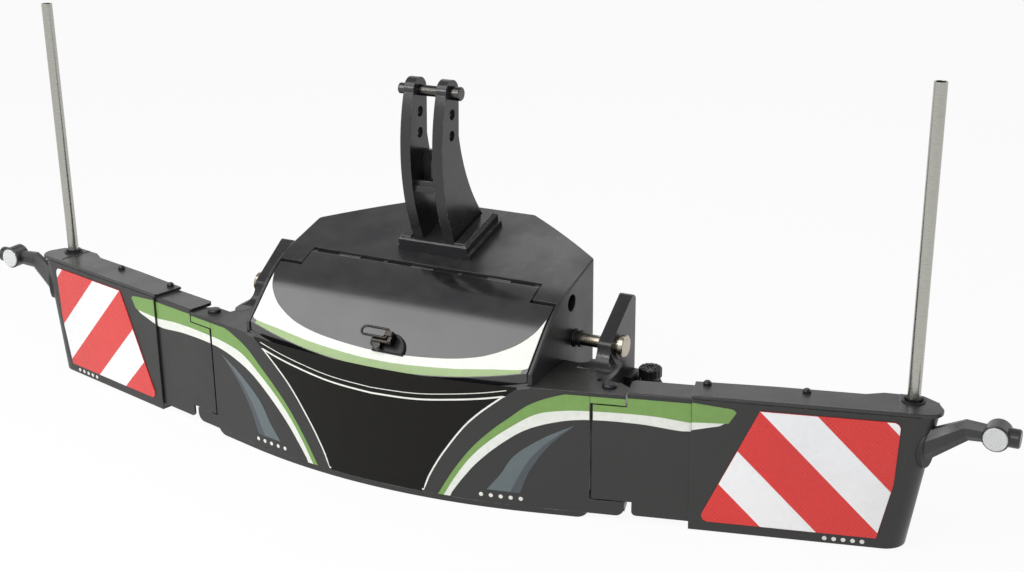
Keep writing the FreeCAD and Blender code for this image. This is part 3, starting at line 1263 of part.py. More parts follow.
def oval(centre, along, share):
    """An upright oval ring of the boot's size, square to a direction."""
    wide, high = BOOT_SIZE
    side = along.cross(V(0, 0, 1)).normalize()
    ring = Part.Ellipse(centre + V(0, 0, share * high / 2), centre + side * (share * wide / 2), centre)
    return Part.Wire([ring.toShape()])


# Lamp socket

def make_socket_bracket():
    """Box-shaped holder welded to the right ear, with a ring for the socket."""
    outer = EAR_OUTER
    seat = SOCKET_TOP_Z - SOCKET_HEIGHT * 0.5
    holder = box(outer, outer + 16, SOCKET_Y - 46, EAR_REAR_Y, seat - SOCKET_HEIGHT, SOCKET_TOP_Z)
    plate = box(
        outer, SOCKET_X, SOCKET_Y - SOCKET_RADIUS - 5, SOCKET_Y + SOCKET_RADIUS + 5, seat - SOCKET_PLATE, seat
    )
    ring = rod(V(SOCKET_X, SOCKET_Y, seat - SOCKET_PLATE), V(SOCKET_X, SOCKET_Y, seat), SOCKET_RADIUS + 7)
    hole = rod(V(SOCKET_X, SOCKET_Y, 0), V(SOCKET_X, SOCKET_Y, seat), SOCKET_RADIUS)
    room = rod(V(SOCKET_X, SOCKET_Y, seat), V(SOCKET_X, SOCKET_Y, FAR / 2), SOCKET_CAP_RADIUS + 2)
    keep = box(outer, FAR, -FAR, FAR, 0, FAR / 2)
    return holder.fuse([plate, ring]).common(keep).cut(hole).cut(room).removeSplitter()


def cap_pivot():
    """A point on the socket cap's hinge line, behind the cap at the level of its rim."""
    return V(SOCKET_X, SOCKET_Y + SOCKET_CAP_RADIUS + CAP_BARREL_RADIUS, SOCKET_TOP_Z - SOCKET_CAP_SKIRT)


def make_socket():
    """Round socket body in the bracket's ring, with two hinge lugs and their pin."""
    top = V(SOCKET_X, SOCKET_Y, SOCKET_TOP_Z)
    base = top - V(0, 0, SOCKET_HEIGHT)
    body = rod(base, top, SOCKET_RADIUS - SEAT_GAP)
    flange_z = SOCKET_TOP_Z - SOCKET_HEIGHT * 0.5
    flange = rod(V(SOCKET_X, SOCKET_Y, flange_z), V(SOCKET_X, SOCKET_Y, flange_z + 5), SOCKET_RADIUS + 4)
    bore = rod(top - V(0, 0, 18), top + V(0, 0, 1), SOCKET_RADIUS - 5)
    pivot = cap_pivot()
    half = CAP_BARREL_LENGTH / 2 + SEAT_GAP
    reach = V(half + CAP_LUG_WIDTH, 0, 0)
    radius = CAP_BARREL_RADIUS - 1
    bridge = box(
        pivot.x - reach.x, pivot.x + reach.x, SOCKET_Y + SOCKET_RADIUS - 6, pivot.y + radius,
        flange_z, flange_z + 5
    )
    pieces = [flange, bridge, rod(pivot - reach, pivot + reach, CAP_PIN_RADIUS)]
    for side in (-1, 1):
        near, far = sorted((pivot.x + side * half, pivot.x + side * reach.x))
        upright_lug = box(near, far, pivot.y - radius, pivot.y + radius, flange_z, pivot.z)
        pieces += [upright_lug, rod(V(near, pivot.y, pivot.z), V(far, pivot.y, pivot.z), radius)]
    return body.fuse(pieces).cut(bore).removeSplitter()


def make_socket_cap():
    """Ribbed cap with a hinge barrel at its rear."""
    low = SOCKET_TOP_Z - SOCKET_CAP_SKIRT
    high = low + SOCKET_CAP_HEIGHT
    cap = rod(V(SOCKET_X, SOCKET_Y, low), V(SOCKET_X, SOCKET_Y, high), SOCKET_CAP_RADIUS)
    rim = edges_between(cap, lambda e: e.CenterOfMass.z > high - 1)
    cap = cap.makeChamfer(2.0, rim)
    for i in range(16):
        angle = math.radians(360 / 16 * i)
        x = SOCKET_X + SOCKET_CAP_RADIUS * math.cos(angle)
        y = SOCKET_Y + SOCKET_CAP_RADIUS * math.sin(angle)
        cap = cap.cut(rod(V(x, y, low - 1), V(x, y, high + 1), 2.0))
    pivot = cap_pivot()
    half = V(CAP_BARREL_LENGTH / 2, 0, 0)
    barrel = rod(pivot - half, pivot + half, CAP_BARREL_RADIUS)
    strap = box(
        pivot.x - half.x, pivot.x + half.x, SOCKET_Y + SOCKET_CAP_RADIUS - 6, pivot.y,
        low, low + CAP_BARREL_RADIUS
    )
    cap = cap.fuse([barrel, strap])
    dish = rod(V(SOCKET_X, SOCKET_Y, high - 3), V(SOCKET_X, SOCKET_Y, high + 1), SOCKET_CAP_RADIUS * 0.7)
    skirt_room = rod(V(SOCKET_X, SOCKET_Y, low - 1), V(SOCKET_X, SOCKET_Y, SOCKET_TOP_Z + SEAT_GAP),
                     SOCKET_RADIUS + SEAT_GAP)
    pin = rod(pivot - half - V(1, 0, 0), pivot + half + V(1, 0, 0), CAP_PIN_RADIUS + HINGE_PLAY)
    return cap.cut(dish).cut(skirt_room).cut(pin).removeSplitter()


def main():
    os.makedirs("parts", exist_ok=True)
    save("weight_block", make_block())
    save("storage_tray", make_tray())
    save("tray_seal", make_seal())
    save("lid", make_lid())
    save("lid_hinge_rod", make_hinge_rod())
    save("lid_hinge_bearings", make_bearings())
    save("latch_base", make_latch_base())
    save("latch_neck", make_latch_neck())
    save("latch_loop", make_latch_loop())
    save("front_panel", make_front_panel())
    save("mast_base", make_mast_base())
    save_pair("mast_cheek", make_cheek())
    save("mast_cross_plate", make_cross_plate())
    save("mast_back_plate", make_back_plate())
    save("top_link_pin", make_top_pin())
    save_pair("side_bracket", make_side_bracket())
    save_pair("hitch_ear", make_ear())
    save_pair("lower_hitch_pin", make_lower_pin())
    save_pair("pin_collar", make_collar())
    save_pair("wing_hinge_pin", in_part_frame(make_wing_pin()))
    save_pair("wing_arm", in_part_frame(make_wing_arm()))
    save_pair("wing_ribs", in_part_frame(make_wing_ribs()))
    save_pair("wing_inner_panel", in_part_frame(make_inner_panel()))
    save_pair("wing_inner_top", in_part_frame(make_inner_top()))
    save_pair("wing_outer_shell", in_part_frame(make_outer_shell()).cut([boot_form(), make_lamp_arm()]))
    save_pair("wing_outer_top", in_part_frame(make_outer_top()))
    save_pair("wing_top_bolts", in_part_frame(make_top_bolts()))
    save_pair("hazard_board", in_part_frame(make_board()))
    save_pair("marker_pole", in_part_frame(make_pole()))
    save_pair("pole_nut", in_part_frame(make_pole_nut()))
    save_pair("lamp_boot", boot_form().cut(make_lamp_arm()))
    save_pair("lamp_arm", make_lamp_arm())
    save_pair("lamp_housing", make_lamp())
    save_pair("lamp_lens_front", make_lens(True))
    save_pair("lamp_lens_rear", make_lens(False))
    save("socket_bracket", make_socket_bracket())
    save("lamp_socket", make_socket())
    save("socket_cap", make_socket_cap())


main()
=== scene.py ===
import bmesh
import bpy
import math
from mathutils import Matrix, Vector


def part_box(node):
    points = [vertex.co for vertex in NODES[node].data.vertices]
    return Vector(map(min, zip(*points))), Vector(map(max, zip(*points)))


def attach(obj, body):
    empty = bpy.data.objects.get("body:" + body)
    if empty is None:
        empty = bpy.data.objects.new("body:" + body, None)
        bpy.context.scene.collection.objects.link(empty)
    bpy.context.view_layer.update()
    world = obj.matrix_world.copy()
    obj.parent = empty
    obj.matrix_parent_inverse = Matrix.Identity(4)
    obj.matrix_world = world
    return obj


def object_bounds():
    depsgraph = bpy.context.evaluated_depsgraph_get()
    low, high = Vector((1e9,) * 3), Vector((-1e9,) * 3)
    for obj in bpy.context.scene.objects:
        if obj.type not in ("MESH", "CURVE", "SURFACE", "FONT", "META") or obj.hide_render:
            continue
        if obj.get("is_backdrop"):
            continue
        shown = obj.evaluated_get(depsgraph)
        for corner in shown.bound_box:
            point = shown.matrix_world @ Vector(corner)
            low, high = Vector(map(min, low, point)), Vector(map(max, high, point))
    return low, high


# Looks of the front bumper weight: finishes, printed films, hazard sheeting, small welded parts, floor, lamps
# and camera. Lengths are millimetres and become metres where a mesh is made; the stage below is in metres.

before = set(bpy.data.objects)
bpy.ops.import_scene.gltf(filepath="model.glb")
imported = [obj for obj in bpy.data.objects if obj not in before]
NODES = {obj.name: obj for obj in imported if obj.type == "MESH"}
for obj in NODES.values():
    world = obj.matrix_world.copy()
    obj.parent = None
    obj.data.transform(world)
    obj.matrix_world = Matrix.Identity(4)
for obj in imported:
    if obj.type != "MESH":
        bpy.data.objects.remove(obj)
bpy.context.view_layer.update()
MM = 0.001
SIDES = (("left", -1), ("right", 1))

# Plan of the bowed face, as in the part: a round middle, and straight wings swept back from it
BOW_RADIUS = 1560.0
BOW_CENTRE_Y = 1300.0
BOW_HALF = 379.0
SWEEP = math.asin(BOW_HALF / BOW_RADIUS)
TANGENT_Y = BOW_CENTRE_Y - BOW_RADIUS * math.cos(SWEEP)
WING_PROUD = 6.0
BOARD_PROUD = 8.0
PANEL_REACH = 503.0
INNER_PANEL_X = 509.5


def wing_x(s):
    """Distance from the middle, for a distance out along the wing's face."""
    return BOW_HALF + s * math.cos(SWEEP)


WING_STEP_X = wing_x(346.0)
TONGUE_REACH = wing_x(204.5)
FULL_INNER_X = wing_x(208.5)

# Films: thickness, the thicker sheeting, and how far their backs stay clear of what they lie on
FILM = 0.35
SHEET = 0.5
FILM_CLEAR = 0.02
THIN_END = 0.05


# ---------------------------------------------------------------- node helpers

def srgb(r, g, b):
    """8-bit display colour to the linear value that a shader takes."""
    def linear(c):
        c /= 255.0
        return c / 12.92 if c <= 0.04045 else ((c + 0.055) / 1.055) ** 2.4
    return (linear(r), linear(g), linear(b), 1.0)


# Sockets of the colour mix node, whose names repeat
MIX_FACTOR, MIX_A, MIX_B, MIX_RESULT = 0, 6, 7, 2


class Shader:
    """A small wrapper that adds nodes and links to one material. Depths and radii are millimetres."""

    def __init__(self, name):
        self.material = bpy.data.materials.new(name)
        self.material.use_nodes = True
        self.tree = self.material.node_tree
        self.bsdf = self.tree.nodes["Principled BSDF"]
        self.coord = self.add("ShaderNodeTexCoord").outputs["Object"]
        self.rest_normal = self.coord.node.outputs["Normal"]

    def add(self, kind, settings=None, **inputs):
        """A new node with its settings, and values or links for its inputs."""
        node = self.tree.nodes.new(kind)
        for key, value in (settings or {}).items():
            setattr(node, key, value)
        for key, value in inputs.items():
            self.put(node.inputs[key.replace("_", " ")], value)
        return node

    def put(self, socket, value):
        """Links another node's output to a socket, or sets its value."""
        if isinstance(value, bpy.types.NodeSocket):
            self.tree.links.new(value, socket)
        else:
            socket.default_value = value

    def math(self, operation, a, b=0.0):
        """One calculation with two values."""
        node = self.add("ShaderNodeMath", {"operation": operation})
        self.put(node.inputs[0], a)
        self.put(node.inputs[1], b)
        return node.outputs[0]

    def noise(self, scale, detail=3.0, rough=0.5, vector=None):
        """Cloudy noise on the resting part, with the scale per metre."""
        node = self.add("ShaderNodeTexNoise", Scale=scale, Detail=detail, Roughness=rough)
        self.put(node.inputs["Vector"], vector or self.coord)
        return node.outputs["Fac"]

    def stretch(self, x, y, z, turn=(0.0, 0.0, 0.0)):
        """The resting part's places, stretched and turned, for streaks and weaves."""
        node = self.add("ShaderNodeMapping", Scale=(x, y, z), Rotation=turn)
        self.put(node.inputs["Vector"], self.coord)
        return node.outputs["Vector"]

    def ramp(self, value, low, high, out_low=0.0, out_high=1.0):
        """A soft step of the value between two limits."""
        node = self.add("ShaderNodeMapRange", {"interpolation_type": "SMOOTHSTEP"})
        self.put(node.inputs["Value"], value)
        for key, number in (("From Min", low), ("From Max", high), ("To Min", out_low), ("To Max", out_high)):
            node.inputs[key].default_value = number
        return node.outputs["Result"]

    def mix(self, factor, a, b):
        """A blend of two colours."""
        node = self.add("ShaderNodeMix", {"data_type": "RGBA"})
        self.put(node.inputs[MIX_FACTOR], factor)
        self.put(node.inputs[MIX_A], a)
        self.put(node.inputs[MIX_B], b)
        return node.outputs[MIX_RESULT]

    def rounded(self, radius):
        """Shading normal with softened edges, and a mask that is 1 on those edges."""
        bevel = self.add("ShaderNodeBevel", {"samples": 6}, Radius=radius * MM)
        geometry = self.add("ShaderNodeNewGeometry")
        dot = self.add("ShaderNodeVectorMath", {"operation": "DOT_PRODUCT"})
        self.put(dot.inputs[0], bevel.outputs[0])
        self.put(dot.inputs[1], geometry.outputs["Normal"])
        edge = self.ramp(dot.outputs["Value"], 0.995, 0.86)
        return bevel.outputs[0], edge

    def bump(self, height, strength, depth, normal=None):
        """A shading normal with a fine relief."""
        node = self.add("ShaderNodeBump", Height=height, Strength=strength, Distance=depth * MM)
        if normal is not None:
            self.put(node.inputs["Normal"], normal)
        return node.outputs[0]

    def set(self, **inputs):
        """Sets or links inputs of the material's main node."""
        for key, value in inputs.items():
            self.put(self.bsdf.inputs[key.replace("_", " ")], value)

    def facing_up(self):
        """1 where the resting part's surface looks up, 0 where it stands."""
        split = self.add("ShaderNodeSeparateXYZ")
        self.put(split.inputs[0], self.rest_normal)
        return self.ramp(split.outputs["Z"], 0.45, 0.95)

    def dusted(self, tone, scale, share, dust):
        """The tone with patches of dust on what looks up."""
        lying = self.math("MULTIPLY", self.facing_up(), self.ramp(self.noise(scale, 5.0, 0.65), 0.35, 0.75))
        return self.mix(self.math("MULTIPLY", lying, share), tone, dust)

    def cloudy(self, value, colour, dark, light):
        """The colour in darker and lighter clouds, by a noise."""
        return self.mix(self.ramp(value, 0.3, 0.7), scaled(colour, dark), scaled(colour, light))


def scaled(colour, factor):
    """A lighter or darker tone of a colour."""
    return tuple(c * factor for c in colour[:3]) + (1.0,)


def paint(name, colour, rough, grain=5.0, depth=0.10, edge=2.0, edge_highlight=0.25, dust=0.05, coat=0.0):
    """Sprayed enamel: orange peel, cloudy tone, a little dust on top, and a painted highlight in lighter patches
    along the edges.
    """
    s = Shader(name)
    normal, rim = s.rounded(edge)
    cloud = s.noise(2.2, 3.0)
    tone = s.dusted(s.cloudy(cloud, colour, 0.86, 1.14), 17.0, dust, srgb(150, 145, 136))
    # Lighter grey patches along the edges are a painted highlight.
    highlight_patches = s.math("MULTIPLY", rim, s.ramp(s.noise(38.0, 4.0, 0.7), 0.42, 0.66))
    tone = s.mix(s.math("MULTIPLY", highlight_patches, edge_highlight), tone, srgb(150, 150, 148))
    peel = s.noise(1000.0 / grain, 2.0, 0.45)
    fine = s.noise(1000.0 / grain * 3.1, 1.0)
    height = s.math("ADD", peel, s.math("MULTIPLY", fine, 0.35))
    handled = s.ramp(s.noise(9.0, 4.0, 0.6), 0.3, 0.75, rough * 0.85, rough * 1.3)
    s.set(Base_Color=tone, Roughness=handled, Coat_Weight=coat, Coat_Roughness=0.12,
          Normal=s.bump(height, 0.55, depth, normal))
    return s.material


def steel(name, colour, rough, streak=(1.0, 1.0, 40.0), metal=1.0, edge=0.8, stain=0.25):
    """Drawn or turned steel: fine streaks along one way, faint stains, and edges painted brighter as a highlight."""
    s = Shader(name)
    normal, rim = s.rounded(edge)
    fine = s.noise(60.0, 4.0, 0.7, s.stretch(*streak))
    spots = s.ramp(s.noise(22.0, 5.0, 0.65), 0.5, 0.8)
    tone = s.cloudy(fine, colour, 0.82, 1.12)
    tone = s.mix(s.math("MULTIPLY", spots, stain), tone, scaled(colour, 0.45))
    # Brighter edges: painted highlight.
    tone = s.mix(s.math("MULTIPLY", rim, 0.35), tone, scaled(colour, 1.35))
    s.set(Base_Color=tone, Metallic=metal, Roughness=s.ramp(fine, 0.25, 0.8, rough * 0.75, rough * 1.3),
          Normal=s.bump(fine, 0.35, 0.05, normal))
    return s.material


def moulded(name, colour, rough, grain=1.6, depth=0.08, edge=1.0, dust=0.08):
    """Moulded rubber or plastic with a fine pebbled skin."""
    s = Shader(name)
    normal, rim = s.rounded(edge)
    cells = s.add("ShaderNodeTexVoronoi", {"feature": "SMOOTH_F1"}, Scale=1000.0 / grain, Smoothness=0.6)
    s.put(cells.inputs["Vector"], s.coord)
    cloud = s.noise(14.0, 4.0, 0.6)
    tone = s.dusted(s.cloudy(cloud, colour, 0.8, 1.2), 30.0, dust, srgb(140, 136, 128))
    # Lighter edges: painted highlight.
    tone = s.mix(s.math("MULTIPLY", rim, 0.12), tone, srgb(120, 120, 118))
    s.set(Base_Color=tone, Roughness=s.ramp(cloud, 0.3, 0.8, rough * 0.85, rough * 1.2),
          Normal=s.bump(cells.outputs["Distance"], 0.4, depth, normal))
    return s.material


def printed(name, colour, rough=0.38, fade=0.06, specular=0.4):
    """Screen-printed vinyl film: even colour, faint mottle, the paint's peel showing through."""
    s = Shader(name)
    mottle = s.noise(55.0, 4.0, 0.6)
    tone = s.mix(s.ramp(mottle, 0.25, 0.75), scaled(colour, 1.0 - fade), scaled(colour, 1.0 + fade * 0.6))
    peel = s.noise(170.0, 2.0)
    s.set(Base_Color=tone, Roughness=s.ramp(mottle, 0.2, 0.8, rough * 0.9, rough * 1.15),
          Specular_IOR_Level=specular, Normal=s.bump(peel, 0.3, 0.06))
    return s.material


def prismatic(name, colour, cell=7.0):
    """Retroreflective sheeting: diamond cells with bright seams under a clear smooth skin."""
    s = Shader(name)
    turned = s.stretch(1.0, 1.0, 1.0, (0.0, math.radians(45.0), 0.0))
    split = s.add("ShaderNodeSeparateXYZ")
    s.put(split.inputs[0], turned)
    join = s.add("ShaderNodeCombineXYZ")
    s.put(join.inputs[0], split.outputs["X"])
    s.put(join.inputs[1], split.outputs["Z"])
    cells = s.add("ShaderNodeTexVoronoi", {"feature": "DISTANCE_TO_EDGE", "voronoi_dimensions": "2D"},
                  Scale=1000.0 / cell, Randomness=0.0)
    s.put(cells.inputs["Vector"], join.outputs[0])
    seam = s.ramp(cells.outputs["Distance"], 0.09, 0.02)
    tone = s.cloudy(s.noise(4.0), colour, 0.93, 1.03)
    tone = s.mix(s.math("MULTIPLY", seam, 0.06), tone, srgb(250, 240, 235))
    s.set(Base_Color=tone, Roughness=s.ramp(s.noise(30.0, 4.0), 0.3, 0.8, 0.24, 0.36),
          Coat_Weight=0.35, Coat_Roughness=0.08, Normal=s.bump(cells.outputs["Distance"], 0.12, 0.10))
    return s.material


FLUTE_PITCH = 0.0042


def lens(name, colour, centre_name, transmission):
    """Moulded lamp lens with round flutes about its own middle, with painted shade in the flutes' grooves."""
    s = Shader(name)
    low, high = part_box(centre_name)
    middle = (low + high) / 2
    local = s.add("ShaderNodeVectorMath", {"operation": "SUBTRACT"})
    s.put(local.inputs[0], s.coord)
    local.inputs[1].default_value = middle
    flat = s.add("ShaderNodeVectorMath", {"operation": "MULTIPLY"})
    s.put(flat.inputs[0], local.outputs[0])
    flat.inputs[1].default_value = (1.0, 0.0, 1.0)
    length = s.add("ShaderNodeVectorMath", {"operation": "LENGTH"})
    s.put(length.inputs[0], flat.outputs[0])
    flutes = s.math("SINE", s.math("MULTIPLY", length.outputs["Value"], 2 * math.pi / FLUTE_PITCH))
    mottle = s.noise(90.0, 3.0)
    # Darker in the flutes' grooves: painted shade.
    tone = s.mix(s.ramp(flutes, -1.0, 1.0), scaled(colour, 0.86), colour)
    s.set(Base_Color=tone, Roughness=s.ramp(mottle, 0.3, 0.7, 0.10, 0.18), Transmission_Weight=transmission,
          Coat_Weight=0.5, Coat_Roughness=0.05, Normal=s.bump(flutes, 0.35, 0.35))
    return s.material


PANEL = srgb(38, 38, 37)

FINISH = {
    "block_paint": paint("block_paint", srgb(36, 36, 38), 0.30, grain=6.0, depth=0.14),
    "lid_paint": paint("lid_paint", srgb(27, 27, 29), 0.20, grain=6.5, depth=0.20, edge_highlight=0.3, coat=0.8),
    "panel_paint": paint("panel_paint", PANEL, 0.36, grain=4.0, depth=0.07, edge_highlight=0.5),
    "wing_paint": paint("wing_paint", PANEL, 0.36, grain=4.0, depth=0.07),
    "wing_top_paint": paint("wing_top_paint", srgb(46, 46, 47), 0.27, grain=5.0, depth=0.10, edge_highlight=0.6),
    "mast_paint": paint("mast_paint", srgb(38, 38, 40), 0.24, grain=6.0, depth=0.16, edge_highlight=0.7),
    "bracket_paint": paint("bracket_paint", srgb(34, 34, 36), 0.28, grain=5.0, depth=0.12, edge_highlight=0.6),
    "black_steel": paint("black_steel", srgb(33, 33, 35), 0.34, grain=3.0, depth=0.08, edge=1.2, edge_highlight=0.35),
    "tray_steel": steel("tray_steel", srgb(150, 153, 155), 0.42, (30.0, 1.0, 1.0)),
    "seal_rubber": moulded("seal_rubber", srgb(24, 24, 24), 0.62),
    "hinge_steel": steel("hinge_steel", srgb(66, 66, 66), 0.38, (40.0, 1.0, 1.0), metal=0.7),
    "latch_plate": steel("latch_plate", srgb(40, 40, 41), 0.34, (1.0, 1.0, 12.0), metal=0.6),
    "latch_steel": steel("latch_steel", srgb(66, 63, 60), 0.28, (4.0, 4.0, 4.0)),
    "pin_steel": steel("pin_steel", srgb(176, 168, 152), 0.26, (30.0, 1.0, 1.0)),
    "top_pin_steel": steel("top_pin_steel", srgb(84, 83, 80), 0.24, (30.0, 1.0, 1.0)),
    "socket_plastic": moulded("socket_plastic", srgb(30, 30, 31), 0.42),
    "cap_plastic": moulded("cap_plastic", srgb(26, 26, 27), 0.34, grain=1.2),
    "bolt_steel": steel("bolt_steel", srgb(60, 60, 62), 0.34, (3.0, 3.0, 3.0), metal=0.75),
    "reflective_sheet": prismatic("reflective_sheet", srgb(222, 24, 14)),
    "pole_steel": steel("pole_steel", srgb(176, 175, 168), 0.24, (1.0, 1.0, 26.0), stain=0.12),
    "boot_rubber": moulded("boot_rubber", srgb(27, 27, 28), 0.48),
    "arm_rubber": moulded("arm_rubber", srgb(46, 46, 48), 0.30, grain=2.4, depth=0.05),
    "lamp_plastic": moulded("lamp_plastic", srgb(44, 44, 46), 0.30, grain=1.4, depth=0.05),
}
for side, _ in SIDES:
    for tint, colour, end, clear in (
        ("clear", srgb(238, 240, 240), "front", 0.15), ("red", srgb(170, 18, 14), "rear", 0.25),
    ):
        slot = f"lens_{tint}_{side}"
        FINISH[slot] = lens(slot, colour, f"lamp_lens_{end}_{side}", clear)

FILM_BLACK = printed("film_black", srgb(24, 23, 20), 0.30, specular=0.14)
FILM_GREEN = printed("film_green", srgb(122, 160, 86))
FILM_WHITE = printed("film_white", srgb(234, 236, 228))
FILM_GREY = printed("film_grey", srgb(76, 82, 87), 0.36)
FILM_PALE_GREY = printed("film_pale_grey", srgb(98, 108, 111), 0.36)
# The band green made paler for the lid: painted light where the lid catches the lamps.
FILM_LIT_GREEN = printed("film_pale_green", srgb(158, 182, 128))
# Near-black for the strip in the wing's gap: painted shade.
GAP_SHADE_FILL = moulded("gap_black", srgb(9, 9, 9), 0.75)
SHEET_WHITE = prismatic("sheet_white", srgb(250, 251, 252))

SLOT_OF = {
    "weight_block": "block_paint", "storage_tray": "tray_steel", "tray_seal": "seal_rubber",
    "lid": "lid_paint", "lid_hinge_rod": "hinge_steel", "lid_hinge_bearings": "black_steel",
    "socket_bracket": "black_steel", "latch_base": "latch_plate", "latch_neck": "latch_steel",
    "latch_loop": "latch_steel", "front_panel": "panel_paint", "top_link_pin": "top_pin_steel",
    "lamp_socket": "socket_plastic", "socket_cap": "cap_plastic",
}
SLOT_STARTS = (
    ("mast_", "mast_paint"), ("lower_hitch_pin_", "pin_steel"), ("pin_collar_", "black_steel"),
    ("side_bracket_", "bracket_paint"), ("hitch_ear_", "bracket_paint"), ("wing_arm_", "black_steel"),
    ("wing_ribs_", "black_steel"), ("wing_hinge_pin_", "bolt_steel"), ("wing_top_bolts_", "bolt_steel"),
    ("pole_nut_", "bolt_steel"), ("wing_inner_panel_", "wing_paint"), ("wing_outer_shell_", "wing_paint"),
    ("wing_inner_top_", "wing_top_paint"), ("wing_outer_top_", "wing_top_paint"),
    ("hazard_board_", "reflective_sheet"), ("marker_pole_", "pole_steel"), ("lamp_boot_", "boot_rubber"),
    ("lamp_arm_", "arm_rubber"), ("lamp_housing_", "lamp_plastic"),
    ("lamp_lens_front_left", "lens_clear_left"), ("lamp_lens_front_right", "lens_clear_right"),
    ("lamp_lens_rear_left", "lens_red_left"), ("lamp_lens_rear_right", "lens_red_right"),
)


def finish_of(name):
    """The finish of a node, by its whole name or by how the name starts."""
    if name in SLOT_OF:
        return FINISH[SLOT_OF[name]]
    return next(FINISH[slot] for start, slot in SLOT_STARTS if name.startswith(start))


for name, node in NODES.items():
    chosen = finish_of(name)
    if not node.material_slots:
        node.data.materials.append(chosen)
    for place in node.material_slots:
        place.material = chosen


# ---------------------------------------------------------------- mesh helpers

SHARP_ANGLE, BEAD_ANGLE = 30.0, 60.0
BOX_FACES = [(3, 2, 1, 0), (4, 5, 6, 7), (0, 1, 5, 4), (1, 2, 6, 5), (2, 3, 7, 6), (3, 0, 4, 7)]


def piece(name, verts, faces, material, body, angle=SHARP_ANGLE):
    """Makes one closed mesh piece that rides on a body."""
    mesh = bpy.data.meshes.new(name)
    mesh.from_pydata([tuple(c * MM for c in v) for v in verts], [], faces)
    mesh.validate()
    outward = bmesh.new()
    outward.from_mesh(mesh)
    bmesh.ops.recalc_face_normals(outward, faces=outward.faces)
    outward.to_mesh(mesh)
    outward.free()
    mesh.shade_smooth()
    mesh.set_sharp_from_angle(angle=math.radians(angle))
    mesh.materials.append(material)
    made = bpy.data.objects.new(name, mesh)
    bpy.context.scene.collection.objects.link(made)
    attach(made, body)
    return made


def wing_place(sign, s, d, z):
    """A place in the swept wing's frame: s out along it, d behind its face."""
    return (
        sign * (wing_x(s) - d * math.sin(SWEEP)), TANGENT_Y + s * math.sin(SWEEP) + d * math.cos(SWEEP), z,
    )


def face_point(x, z, proud):
    """A place on the bowed face and the swept wings: x across the machine, z up, proud in front of the sheet."""
    side = -1.0 if x < 0 else 1.0
    across = abs(x)
    if across <= BOW_HALF:
        turn = math.asin(across / BOW_RADIUS)
        radius = BOW_RADIUS + proud
        return (side * radius * math.sin(turn), BOW_CENTRE_Y - radius * math.cos(turn), z)
    return wing_place(side, (across - BOW_HALF) / math.cos(SWEEP), -proud, z)


def straight(points):
    """Function through points with a straight run between neighbours."""
    def value(x):
        x = min(max(x, points[0][0]), points[-1][0])
        for (ax, az), (bx, bz) in zip(points, points[1:]):
            if x <= bx:
                return az + (bz - az) * (x - ax) / (bx - ax)
    return value


def curve(points):
    """Smooth function through points, with the slope of their neighbours."""
    points = sorted(points)
    xs = [p[0] for p in points]
    zs = [p[1] for p in points]
    slopes = []
    for i in range(len(points)):
        a, b = max(i - 1, 0), min(i + 1, len(points) - 1)
        slopes.append((zs[b] - zs[a]) / (xs[b] - xs[a]))

    def value(x):
        x = min(max(x, xs[0]), xs[-1])
        i = max(j for j in range(len(xs) - 1) if xs[j] <= x)
        wide = xs[i + 1] - xs[i]
        t = (x - xs[i]) / wide
        h00, h10 = 2 * t ** 3 - 3 * t ** 2 + 1, t ** 3 - 2 * t ** 2 + t
        h01, h11 = 3 * t ** 2 - 2 * t ** 3, t ** 3 - t ** 2
        return h00 * zs[i] + h10 * wide * slopes[i] + h01 * zs[i + 1] + h11 * wide * slopes[i + 1]
    return value


def film(name, columns, place, material, body, mirror=False, rows=1, thick=FILM, base=0.0):
    """A thin closed film between two edges, given column by column as (along, low, high)."""
    flip = -1.0 if mirror else 1.0
    verts, faces = [], []
    step = rows + 1
    for proud in (base + thick, base + FILM_CLEAR):
        for along, low, high in columns:
            for r in range(step):
                x, y, z = place(along, low + (high - low) * r / rows, proud)
                verts.append((flip * x, y, z))
    count = len(columns)
    under = count * step

    def quad(a, b, c, d):
        faces.append((a, d, c, b) if mirror else (a, b, c, d))
    for i in range(count - 1):
        for r in range(rows):
            a = i * step + r
            quad(a, a + step, a + step + 1, a + 1)
            quad(under + a, under + a + 1, under + a + step + 1, under + a + step)
        a, b = i * step, (i + 1) * step
        quad(a, under + a, under + b, b)
        quad(a + rows, b + rows, under + b + rows, under + a + rows)
    for i, turn in ((0, False), (count - 1, True)):
        for r in range(rows):
            a = i * step + r
            ring = (a, a + 1, under + a + 1, under + a)
            quad(*(reversed(ring) if turn else ring))
    return piece(name, verts, faces, material, body)


def spread(a, b, step):
    """Even places from a to b, no farther apart than the step."""
    count = max(2, int(math.ceil(abs(b - a) / step)) + 1)
    return [a + (b - a) * i / (count - 1) for i in range(count)]


def ribbon(name, path, wide, place, material, body, closed=True, base=0.0):
    """A narrow line of even width along a path in the face's own plane."""
    count = len(path)
    columns = []
    for i in range(count):
        before = path[i - 1] if closed or i else path[i]
        after = path[(i + 1) % count] if closed or i < count - 1 else path[i]
        dx, dz = after[0] - before[0], after[1] - before[1]
        size = math.hypot(dx, dz) or 1.0
        nx, nz = -dz / size * wide / 2, dx / size * wide / 2
        columns.append(((path[i][0] - nx, path[i][1] - nz), (path[i][0] + nx, path[i][1] + nz)))
    verts, faces = [], []
    for low, high in columns:
        for proud in (base + FILM, base + FILM_CLEAR):
            verts.append(place(low[0], low[1], proud))
            verts.append(place(high[0], high[1], proud))
    for i in range(count if closed else count - 1):
        a, b = 4 * i, 4 * ((i + 1) % count)
        faces += [(a, b, b + 1, a + 1), (a + 2, a + 3, b + 3, b + 2), (a, a + 2, b + 2, b),
                  (a + 1, b + 1, b + 3, a + 3)]
    if not closed:
        a, b = 0, 4 * (count - 1)
        faces += [(a, a + 1, a + 3, a + 2), (b, b + 2, b + 3, b + 1)]
    return piece(name, verts, faces, material, body)


